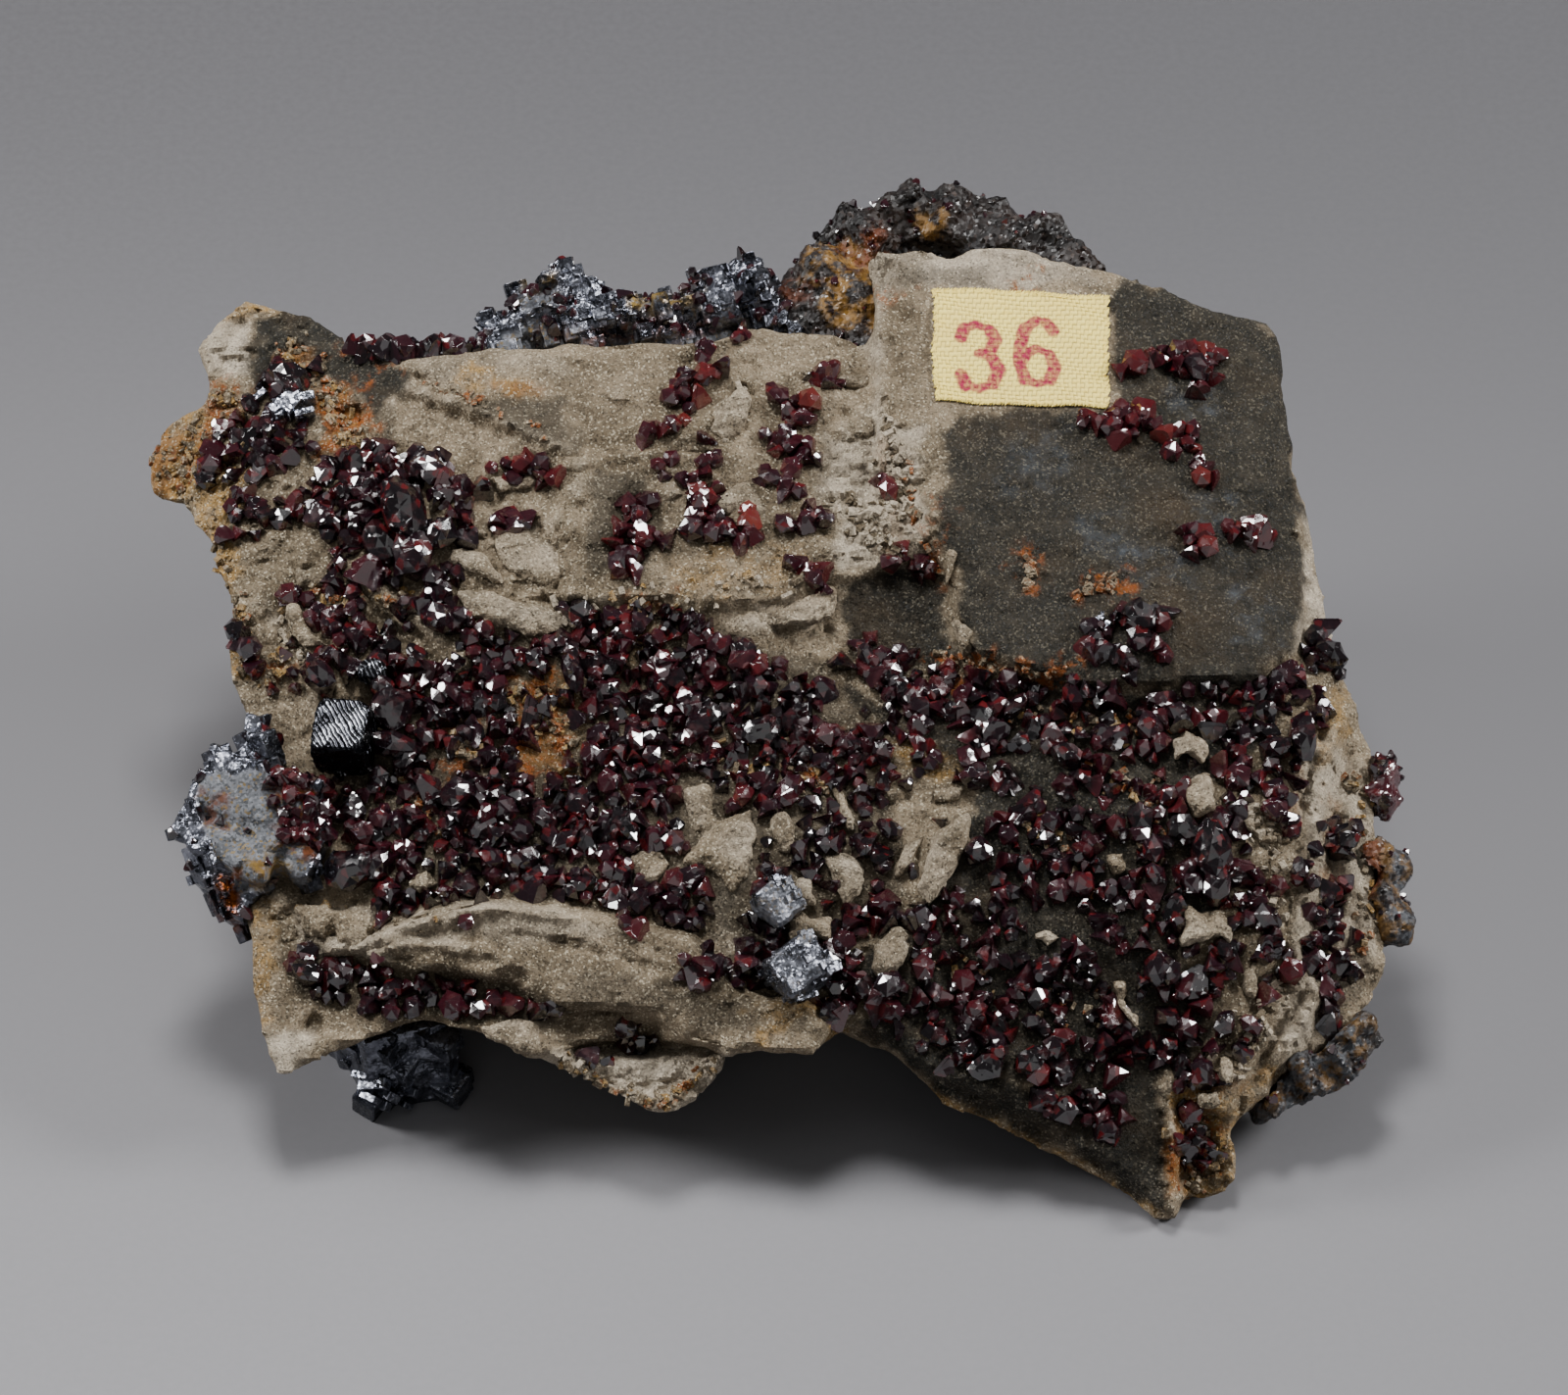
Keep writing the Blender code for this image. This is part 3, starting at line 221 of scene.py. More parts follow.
STAINS = {
    "druse": [
        (1.0, [(-50.2, 40.4), (-46, 40.4), (-41, 37.6), (-34.6, 33.4), (-34.8, 30.6), (-38.4, 29.4),
               (-41.4, 31.4), (-44, 33.4), (-47, 34.6), (-49.6, 31.6), (-50.4, 35)]),
        (0.7, [(-31, 30.6), (-26, 31.6), (-20.5, 31), (-19.6, 27), (-22, 26), (-26, 28)]),
        (0.7, [(-18.4, 23), (-12, 23.5), (-11.5, 14), (-13.5, 11.5), (-18.4, 13)]),
        (0.6, [(-25, 31.4), (-22.6, 31.4), (-18.6, 26.4), (-19.4, 25), (-21.4, 27)]),
        (1.0, [(5, 11.8), (9, 13), (13.2, 13.8), (14.5, 11), (15.5, 7), (16.5, 4), (15, 2.8), (8, 2.5),
               (5.5, 6), (4.8, 9)]),
        (1.0, [(14.6, 28), (19.5, 30), (30.4, 30.2), (30.6, 44.4), (36, 43.2), (44, 40.2), (47.2, 37.6),
               (47.8, 30), (47.8, 27), (48.2, 20.4), (48, 8), (45.6, 4), (44, -1), (36, 1), (28, 0.5),
               (22, 2), (17.5, 5), (16.2, 9), (15.5, 12.5), (14, 16), (14, 22)]),
        (1.0, [(5.5, -32.6), (9, -31.5), (14, -35), (20, -38), (26, -40.6), (31, -40), (33.6, -38),
               (34.8, -44), (34.9, -52), (31, -50), (26, -46.5), (20, -43.8), (14.5, -40.8), (10, -36.5)]),
        (1.0, [(4, 2), (10, 0), (16, 2.5), (22, 2), (36, 1), (44, 0), (44, -6), (38, -10), (41, -20),
               (36, -26), (40, -33), (35, -38), (34.5, -45), (20, -39), (9, -32), (5, -28), (12, -22),
               (16, -12), (18, -8), (9, -4)]),
        (0.55, [(-36, 1), (-20, 9), (4, 4), (8, -4), (12, -20), (4, -29), (-8, -23), (-24, -20), (-38, -20),
                (-41, -10)]),
        (0.7, [(-46, -26.6), (-42, -25.4), (-34, -28), (-26, -29.4), (-20.6, -31.4), (-21, -33.8),
               (-30, -32.6), (-38, -31.2), (-44, -30.2)]),
        (0.5, [(-20, -27), (-6, -30), (3, -31), (3, -34), (-6, -34), (-10, -32), (-20, -31)]),
        (0.7, [(35.6, -42), (39, -43), (41, -46), (40, -50.4), (36, -50)]),
        (0.4, [(12.8, 24), (14.4, 28), (14.4, 16), (13.2, 19)]),
        (0.45, [(11, 44.6), (19, 45), (19, 43), (11, 43)]),
        (0.5, [(-40, 36), (-36, 35), (-36, 27), (-42, 25), (-45, 29)]),
    ],
    "pale": [
        (0.9, [(46, -8), (50, -3), (53.5, -8), (54.6, -14), (54.2, -28), (50, -34), (46, -38), (44, -34),
               (46.5, -28), (46.5, -20), (47.5, -14)]),
        (1.0, [(9, 29), (12.6, 28), (12.8, 22), (13.4, 15), (11, 13.5), (4.5, 13), (4.5, 20), (8.5, 22)]),
        (1.0, [(-54.5, 40), (-50.2, 39.8), (-50.2, 34), (-54.5, 34)]),
        (1.0, [(-23, -35.6), (-15, -36), (-4, -35.6), (-4, -45), (-23, -45)]),
        (1.0, [(48.3, 20.6), (50, 12), (51.4, 6), (46, 4.8), (47.9, 9)]),
        (0.9, [(9, 47), (9.2, 42), (13, 42.8), (30, 43), (28, 46), (20, 48)]),
        (0.35, [(-34.8, 35.8), (-20, 36.4), (-20, 33.4), (-27, 33.6), (-34, 31.5)]),
        (0.7, [(-6.5, 8), (1, 10.4), (4.8, 11.7), (4.6, 8.6), (2.5, 7.5), (-2, 7), (-5.5, 6.2)]),
        (0.6, [(-9.5, -17), (-6, -12.5), (-3, -11.5), (-2.5, -14), (-3, -18), (-4.5, -21), (-4, -27),
               (-6, -27), (-6, -18.5)]),
        (1.0, [(-47.6, -33.6), (-43, -34), (-43, -39), (-48, -39)]),
        (0.9, [(3.4, 27.4), (9, 27.4), (9, 20), (3.4, 20.4)]),
        (0.9, [(-47.8, 10.4), (-43.8, 10), (-44, 4.4), (-47.4, 4.4)]),
        (1.0, [(-45, -21.2), (-36.6, -21), (-36.6, -26.4), (-44.6, -26.4)]),
        (0.6, [(-41, -24), (-30, -21.4), (-20, -21.6), (-12, -24), (-22, -25), (-36, -24.6)]),
        (0.7, [(7.8, 46.6), (9.4, 46.6), (9.6, 24), (8, 24)]),
    ],
    "brown": [
        (1.0, [(-27.8, 33), (-22.4, 32.6), (-22.6, 31.2), (-27.6, 31.4)]),
        (1.0, [(-44, 33.4), (-40, 32.6), (-38.6, 27), (-43.4, 25.6)]),
        (0.9, [(-48, 36), (-45, 36), (-45.6, 32.6), (-48.4, 33)]),
        (0.8, [(-60, 27.6), (-56, 29), (-54.4, 24), (-58, 20.6), (-60, 21)]),
        (0.7, [(-25, 2), (-21, 3), (-20, -8), (-24.6, -7)]),
        (0.7, [(-53.6, 33), (-50.6, 32), (-51, 27), (-54.4, 27)]),
        (0.7, [(35.4, -41), (38, -43), (37, -51), (35, -50)]),
        (0.7, [(50, -9), (51, -12), (50.4, -20), (49.2, -19), (49.8, -13)]),
        (0.6, [(48.2, -3), (47.4, -12), (46.4, -11), (47.2, -4)]),
        (0.3, [(9, 27), (10.4, 27), (10.6, 15), (9.4, 15)]),
        (0.6, [(36.6, -39), (43, -38), (41, -41), (37, -42)]),
    ],
    # Painted sheen: bluish-grey patches on the dark upper plate.
    "haze": [
        (0.8, [(35, 33.6), (40.6, 33), (41, 28.4), (36, 28.4)]),
        (0.9, [(30, 16), (38.4, 15.6), (38, 11.4), (31, 11.6)]),
        (0.7, [(26.6, 19.4), (31.4, 19), (31, 13.6), (27, 14)]),
        (0.8, [(36.6, 22), (42, 21), (42, 14.6), (36.6, 15)]),
        (0.5, [(20, 27), (27, 27.6), (26, 21), (20, 21)]),
        (0.7, [(41, 12), (46, 12), (45.6, 6), (41, 6)]),
    ],
    "rust": [
        (1.0, [(-44, 33), (-39, 33), (-38.6, 26.4), (-43.6, 26)]),
        (0.9, [(-25.5, 2), (-20, 3), (-18, -9), (-25.5, -8)]),
        (0.8, [(-31.5, -2), (-28, -2), (-26, -8), (-31, -8)]),
        (0.9, [(1.4, -4), (5, -4), (4.4, -9.4), (1.8, -9)]),
        (0.5, [(12.4, 22), (13.8, 22.2), (15, 12), (13.4, 13)]),
        (1.0, [(22, 44.8), (24.2, 44.8), (24.2, 42.8), (22, 42.8)]),
        (1.0, [(26.6, 10), (28, 12.6), (31.4, 12.8), (31, 10.4)]),
        (0.9, [(22.4, 15), (24, 15), (23.4, 10), (22, 10)]),
        (0.9, [(13, 4), (27, 3.6), (27, 1.4), (14, 1.2)]),
        (0.8, [(-15, 10), (-11, 10.2), (-11.4, 6.8), (-15, 7)]),
        (0.8, [(35.8, -43), (39.8, -43.4), (39.6, -48.4), (36, -48)]),
        (0.8, [(-54, 33), (-50.4, 32.6), (-51, 26), (-54.6, 27)]),
        (0.9, [(-48.4, 3.2), (-45, 3.2), (-45, 1), (-48, 1)]),
        (0.7, [(9, 41.6), (13, 42.6), (13, 41.4), (9, 40.6)]),
        (0.7, [(37, -12.4), (39.8, -12.8), (39.6, -14), (37.4, -13.8)]),
        (0.7, [(-41, 38), (-35, 35.4), (-36, 34.4), (-41, 36.4)]),
    ],
    "ochre": [
        (1.0, [(-53, 42.4), (-47, 41.4), (-47.6, 39.8), (-52.6, 39.4)]),
        (0.9, [(-60, 28), (-55, 30.6), (-51, 27), (-50.6, 12), (-49.4, 3), (-53, 3), (-54, 14),
               (-56.5, 19.6), (-60, 21)]),
        (0.8, [(-30.5, 33.6), (-23.6, 33.4), (-22.6, 31), (-30, 31.2)]),
        (0.9, [(9.4, -3), (17, -2.8), (16.4, -7.6), (10, -7.2)]),
        (0.9, [(-2.4, -30.6), (2.6, -30.6), (2.8, -33), (-2, -35)]),
        (1.0, [(35.2, -40), (42, -41), (42.6, -46), (40.4, -51), (35.8, -51)]),
        (1.0, [(4.6, -33.6), (9.4, -36.2), (14.2, -39.8), (21, -42.6), (26.1, -46), (32.2, -50.4),
               (34.6, -53), (28, -52), (4, -38)]),
        (0.6, [(-24, 1), (-14, 10), (-12, 6), (-20, -9), (-25, -8)]),
        (0.6, [(-49.4, -20), (-46.8, -20), (-47.4, -36), (-49.4, -32)]),
        (0.6, [(36, -40), (44.6, -38), (42, -42.6), (37, -43)]),
        (0.3, [(-12, 15), (2, 15), (1, 11), (-9, 10.6)]),
        (0.5, [(51, 1), (52.6, -4), (49.8, -7), (48.6, -3)]),
    ],
}


def line_distance(line, across, along):
    """Distances of points from a line of several stretches."""
    distances = []
    for (x1, s1), (x2, s2) in zip(line, line[1:]):
        run = (x2 - x1) ** 2 + (s2 - s1) ** 2
        part = np.clip(((across - x1) * (x2 - x1) + (along - s1) * (s2 - s1)) / run, 0, 1)
        distances.append(np.hypot(across - x1 - part * (x2 - x1), along - s1 - part * (s2 - s1)))
    return np.min(distances, axis=0)


def border_distance(plan, across, along):
    """Signed distances of points from a plan's border, positive inside it."""
    held = np.zeros(across.shape, dtype=bool)
    for (x1, s1), (x2, s2) in zip(plan, plan[1:] + plan[:1]):
        crosses = (s1 > along) != (s2 > along)
        level = x1 + (along - s1) * (x2 - x1) / (s2 - s1 if s2 != s1 else 1e-9)
        held ^= crosses & (across < level)
    nearest = line_distance(plan + plan[:1], across, along)
    return np.where(held, nearest, -nearest)


def soft_step(values, low, high):
    """Values turned to 0 below low, 1 above high, and a smooth curve between."""
    part = np.clip((values - low) / (high - low), 0, 1)
    return part * part * (3 - 2 * part)


def noise_at(points, size, seed=0.0):
    """Smooth noise of a given size at points in millimetres."""
    shift = Vector((seed, seed * 0.7, -seed))
    return np.array([noise.noise(Vector(p) / size + shift) for p in points])


def facets_at(points, size, seed=0.0):
    """Heights of small flat faces, each tilted its own way, that meet in ridges."""
    heights = np.empty(len(points))
    for i, point in enumerate(points):
        place = Vector(point) / size + Vector((seed, seed, seed))
        distances, centres = noise.voronoi(place)
        gap = min((distances[1] - distances[0]) / 0.3, 1.0)
        levels = []
        for centre in centres[:2]:
            tilt = noise.cell_vector(centre * 7.3) - Vector((0.5, 0.5, 0.5))
            levels.append((place - centre).dot(tilt) + tilt.x * 0.4)
        heights[i] = levels[0] * (0.5 + 0.5 * gap) + levels[1] * (0.5 - 0.5 * gap)
    return heights * size


def face_places(points):
    """Across, along and height of points in millimetres."""
    y = points[:, 1] - MIDDLE.y
    z = points[:, 2] - MIDDLE.z
    turn = math.sin(FACE_SLOPE + CAMERA_RAISE)
    along = (y * math.sin(CAMERA_RAISE) + z * math.cos(CAMERA_RAISE)) / turn
    height = (z * math.cos(FACE_SLOPE) - y * math.sin(FACE_SLOPE)) / turn
    return points[:, 0], along, height


def pick(piece):
    """Makes a piece the only one selected, and the active one."""
    bpy.ops.object.select_all(action="DESELECT")
    piece.select_set(True)
    bpy.context.view_layer.objects.active = piece


def copy_of(node, name):
    """A merged copy of a CAD node, as a piece of its own."""
    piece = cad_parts[node].copy()
    piece.data = piece.data.copy()
    piece.name = name
    piece.data.name = name
    piece.data.materials.clear()
    bpy.context.collection.objects.link(piece)
    pick(piece)
    bpy.ops.object.mode_set(mode="EDIT")
    bpy.ops.mesh.select_all(action="SELECT")
    bpy.ops.mesh.remove_doubles(threshold=0.000001)
    bpy.ops.object.mode_set(mode="OBJECT")
    return piece


def apply_modifier(piece, kind, **settings):
    """Adds a modifier to a piece and applies it."""
    modifier = piece.modifiers.new(kind, kind)
    for name, value in settings.items():
        setattr(modifier, name, value)
    bpy.context.view_layer.objects.active = piece
    bpy.ops.object.modifier_apply(modifier=modifier.name)


def vertex_places(mesh):
    """The vertices of a mesh and their normals, as arrays, the places in millimetres."""
    places = np.empty(len(mesh.vertices) * 3)
    mesh.vertices.foreach_get("co", places)
    normals = np.empty(len(mesh.vertices) * 3)
    mesh.vertex_normals.foreach_get("vector", normals)
    return places.reshape(-1, 3) / MM, normals.reshape(-1, 3)


def set_places(mesh, places):
    """Moves a mesh's vertices to places in millimetres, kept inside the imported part's box."""
    low = np.array(cad_box[0]) / MM
    high = np.array(cad_box[1]) / MM
    mesh.vertices.foreach_set("co", (np.clip(places, low, high) * MM).ravel())
    mesh.update()


def set_attribute(mesh, name, values):
    """Writes one number for each vertex."""
    layer = mesh.attributes.get(name) or mesh.attributes.new(name, "FLOAT", "POINT")
    layer.data.foreach_set("value", values.astype(np.float32))


rock = copy_of("matrix_rock", "rock_slab")
apply_modifier(rock, "REMESH", mode="VOXEL", voxel_size=ROCK_VOXEL * MM)
bpy.ops.object.mode_set(mode="EDIT")
bpy.ops.mesh.select_all(action="DESELECT")
bpy.ops.mesh.select_mode(type="FACE")
bpy.ops.object.mode_set(mode="OBJECT")
for polygon in rock.data.polygons:
    polygon.select = polygon.normal.dot(RAISE) > 0.12
bpy.ops.object.mode_set(mode="EDIT")
bpy.ops.mesh.subdivide(number_cuts=1, smoothness=0.6)
bpy.ops.object.mode_set(mode="OBJECT")

places, normals = vertex_places(rock.data)
across, along, height = face_places(places)
upward = soft_step(normals @ np.array(RAISE), 0.05, 0.4)
blur = noise_at(places, 2.6, 3.1) * 1.3 + noise_at(places, 0.9, 8.4) * 0.8
stains_and_painted_light = {}
for stain, patches in STAINS.items():
    stains_and_painted_light[stain] = np.zeros(len(places))
    for strength, plan in patches:
        depth = border_distance(plan, across, along) + blur * (1.7 if stain in ("rust", "ochre") else 1.0)
        stains_and_painted_light[stain] = np.maximum(stains_and_painted_light[stain], strength * soft_step(depth, -0.5, 0.9))
smooth = stains_and_painted_light["druse"]
label_ground = soft_step(border_distance(LABEL_GROUND, across, along), -2, 0)

lift = np.zeros(len(places))
for high, half, line in RIDGES:
    lift += high * soft_step(1.6 * half - line_distance(line, across, along) - 0.3 * blur, 0, 1.6 * half)
for deep, half, line in CRACKS:
    lift -= 0.5 * deep * soft_step(1.4 * half - line_distance(line, across, along), 0, 1.4 * half)
for deep, radius, (x, s) in PITS:
    lift -= deep * soft_step(radius - np.hypot(across - x, along - s) + 0.5 * blur, 0, radius * 0.6)
for size, amount in GRAINS:
    lift += amount * noise_at(places, size, size) * (1 - 0.5 * smooth)
lift += 0.42 * facets_at(places, 2.6, 1.0) * (1 - 0.75 * smooth)
lift += 0.34 * facets_at(places, 1.05, 4.0) * (0.75 + 0.25 * smooth)
lift += LIP_HEIGHT * soft_step(border_distance(LIP, across, along), -1.0, 1.6)
ragged = np.zeros(len(places))
for plan in RAGGED:
    ragged = np.maximum(ragged, soft_step(border_distance(plan, across, along) + blur, -1.0, 1.0))
terraces = noise_at(places, 2.2, 14.0) * 2.4
lift += ragged * (0.7 * facets_at(places, 1.3, 12.0) + 0.35 * (np.round(terraces) - terraces))
lift *= 1 - label_ground
side = 0.7 * noise_at(places, 7.0, 2.0) + 0.9 * facets_at(places, 4.2, 6.0) * 0.5
side += 0.3 * facets_at(places, 1.6, 9.0)
# Painted light: raised ridges that face up are painted paler, a painted highlight, and hollows that face up
# darker, a painted shade, which goes in with the olive ground.
stains_and_painted_light["pale"] = np.maximum(stains_and_painted_light["pale"], 0.7 * upward * soft_step(lift, 0.3, 1.2))
hollow = 0.6 * upward * soft_step(-lift, 0.15, 0.8) * (1 - label_ground)
moves = (lift * upward)[:, None] * np.array(RAISE) + (side * (1 - upward))[:, None] * normals * 0.8
moves[places[:, 2] < 0.15] = 0
set_places(rock.data, places + moves)
for stain, amount in stains_and_painted_light.items():
    set_attribute(rock.data, stain, amount)
pick(rock)
bpy.ops.object.shade_smooth_by_angle(angle=math.radians(32))

# Drusy dolomite: grown in fine crystals, so it is matt and tan-grey, with cleavage grains that catch the
# light, and some grains painted light as painted glints. They are drawn coarser than real, 0.16 to 0.45
# mm, so that they show. Each stain has an attribute, two colours, the scale it breaks up at and the least
# share of it that is left.
STAIN_LOOKS = [
    # The pale stain also holds a painted highlight on the raised ridges that face up.
    ("pale", "#ab9e8b", "#c0b4a1", 300.0, 0.45, 0.3, 0.60),
    # The olive stain also holds painted shade round the crystals and in hollows that face up.
    ("halo", "#554834", "#463c2e", 350.0, 0.30, 0.34, 0.66),
    ("ochre", "#b48a48", "#866a38", 520.0, 0.15, 0.38, 0.62),
    ("druse", "#100f0b", "#1f1e18", 500.0, 0.90, 0.3, 0.60),
    ("druse", "#2b2317", "#3a2e1e", 100.0, 0.0, 0.50, 0.70),
    ("brown", "#6b3d16", "#9a6a2c", 600.0, 0.5, 0.36, 0.56),
    # Painted sheen: bluish-grey patches on the dark upper plate.
    ("haze", "#3c434b", "#58616b", 380.0, 0.0, 0.46, 0.78),
    ("rust", "#78340c", "#945512", 800.0, 0.0, 0.46, 0.56),
]


def tilted_cells(material, coords, cells):
    """The height of a pattern of cells, as if each were a flat grain with a tilt of its own."""
    inside = add_node(material, "VectorMath", {0: (coords, "Object"), 1: (cells, "Position")},
                      operation="SUBTRACT")
    tilt = add_node(material, "VectorMath", {0: (cells, "Color"), 1: (0.5, 0.5, 0.5)}, operation="SUBTRACT")
    return add_node(material, "VectorMath", {0: (inside, 0), 1: (tilt, 0)}, operation="DOT_PRODUCT")


dolomite = new_material("drusy dolomite")
coords = add_node(dolomite, "TexCoord")
cloud = add_node(dolomite, "TexNoise", {"Vector": (coords, "Object"), "Scale": 150.0, "Detail": 6.0,
                                        "Roughness": 0.62})
clouded = add_node(dolomite, "MapRange", {"Value": (cloud, 0), "From Min": 0.36, "From Max": 0.64})
grain = add_node(dolomite, "TexNoise", {"Vector": (coords, "Object"), "Scale": 2200.0, "Detail": 4.0,
                                        "Roughness": 0.7})
# The fine grain is lightened on the tops of its bumps: a painted sparkle.
grain_sparkle = add_node(dolomite, "MapRange", {"Value": (grain, 0), "From Min": 0.38, "From Max": 0.66,
                                          "To Min": 0.0, "To Max": 0.5})
base = add_node(dolomite, "Mix", {SHARE: (clouded, 0), FIRST: linear("#5c4f3c"),
                                  SECOND: linear("#8c7c66")}, data_type="RGBA")
base = add_node(dolomite, "Mix", {SHARE: (grain_sparkle, 0), FIRST: (base, MIXED), SECOND: linear("#a1937c")},
                data_type="RGBA")
specks = add_node(dolomite, "TexVoronoi", {"Vector": (coords, "Object"), "Scale": 6200.0})
for stain, first, second, scale, least, low, high in STAIN_LOOKS:
    amount = add_node(dolomite, "Attribute", attribute_name=stain)
    broken = add_node(dolomite, "TexNoise", {"Vector": (coords, "Object"), "Scale": scale, "Detail": 5.0,
                                             "Roughness": 0.65})
    patchy = add_node(dolomite, "MapRange", {"Value": (broken, 0), "From Min": low, "From Max": high,
                                             "To Min": least, "To Max": 1.0})
    share = add_node(dolomite, "Math", {0: (amount, "Fac"), 1: (patchy, 0)}, operation="MULTIPLY")
    tint = add_node(dolomite, "Mix", {SHARE: (specks, "Color"), FIRST: linear(first),
                                      SECOND: linear(second)}, data_type="RGBA")
    base = add_node(dolomite, "Mix", {SHARE: (share, 0), FIRST: (base, MIXED), SECOND: (tint, MIXED)},
                    data_type="RGBA")
speck_level = add_node(dolomite, "SeparateColor", {"Color": (specks, "Color")})
shade = add_node(dolomite, "MapRange", {"Value": (speck_level, "Blue"), "From Min": 0.0, "From Max": 0.6,
                                        "To Min": 0.34, "To Max": 0.0})
# Painted glints: a few grains are painted light, less so on the druse.
painted_glints = add_node(dolomite, "MapRange", {"Value": (speck_level, "Red"), "From Min": 0.8, "From Max": 0.97,
                                         "To Min": 0.0, "To Max": 0.5})
on_druse = add_node(dolomite, "Attribute", attribute_name="druse")
off_druse = add_node(dolomite, "MapRange", {"Value": (on_druse, "Fac"), "To Min": 1.0, "To Max": 0.22})
painted_glints = add_node(dolomite, "Math", {0: (painted_glints, 0), 1: (off_druse, 0)}, operation="MULTIPLY")
dark = add_node(dolomite, "MapRange", {"Value": (speck_level, "Green"), "From Min": 0.86, "From Max": 0.95,
                                       "To Min": 0.0, "To Max": 0.4})
for share, code in [(shade, "#3a3225"), (painted_glints, "#d6cab0"), (dark, "#2c2820")]:
    base = add_node(dolomite, "Mix", {SHARE: (share, 0), FIRST: (base, MIXED), SECOND: linear(code)},
                    data_type="RGBA")
polish = add_node(dolomite, "MapRange", {"Value": (speck_level, "Blue"), "From Min": 0.75, "From Max": 1.0,
                                         "To Min": 0.9, "To Max": 0.3})
relief = add_node(dolomite, "Bump", {"Height": (tilted_cells(dolomite, coords, specks), "Value"),
                                     "Strength": 0.9, "Distance": 1.1})
relief = add_node(dolomite, "Bump", {"Height": (grain, 0), "Strength": 0.5, "Distance": 0.0005,
                                     "Normal": (relief, 0)})
shader = add_node(dolomite, "BsdfPrincipled", {"Base Color": (base, MIXED), "Roughness": (polish, 0),
                                               "Normal": (relief, 0), "IOR": 1.6,
                                               "Specular IOR Level": 0.24})
add_node(dolomite, "OutputMaterial", {"Surface": (shader, "BSDF")})
rock.data.materials.append(dolomite)
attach(rock, "root")
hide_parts("matrix_rock")

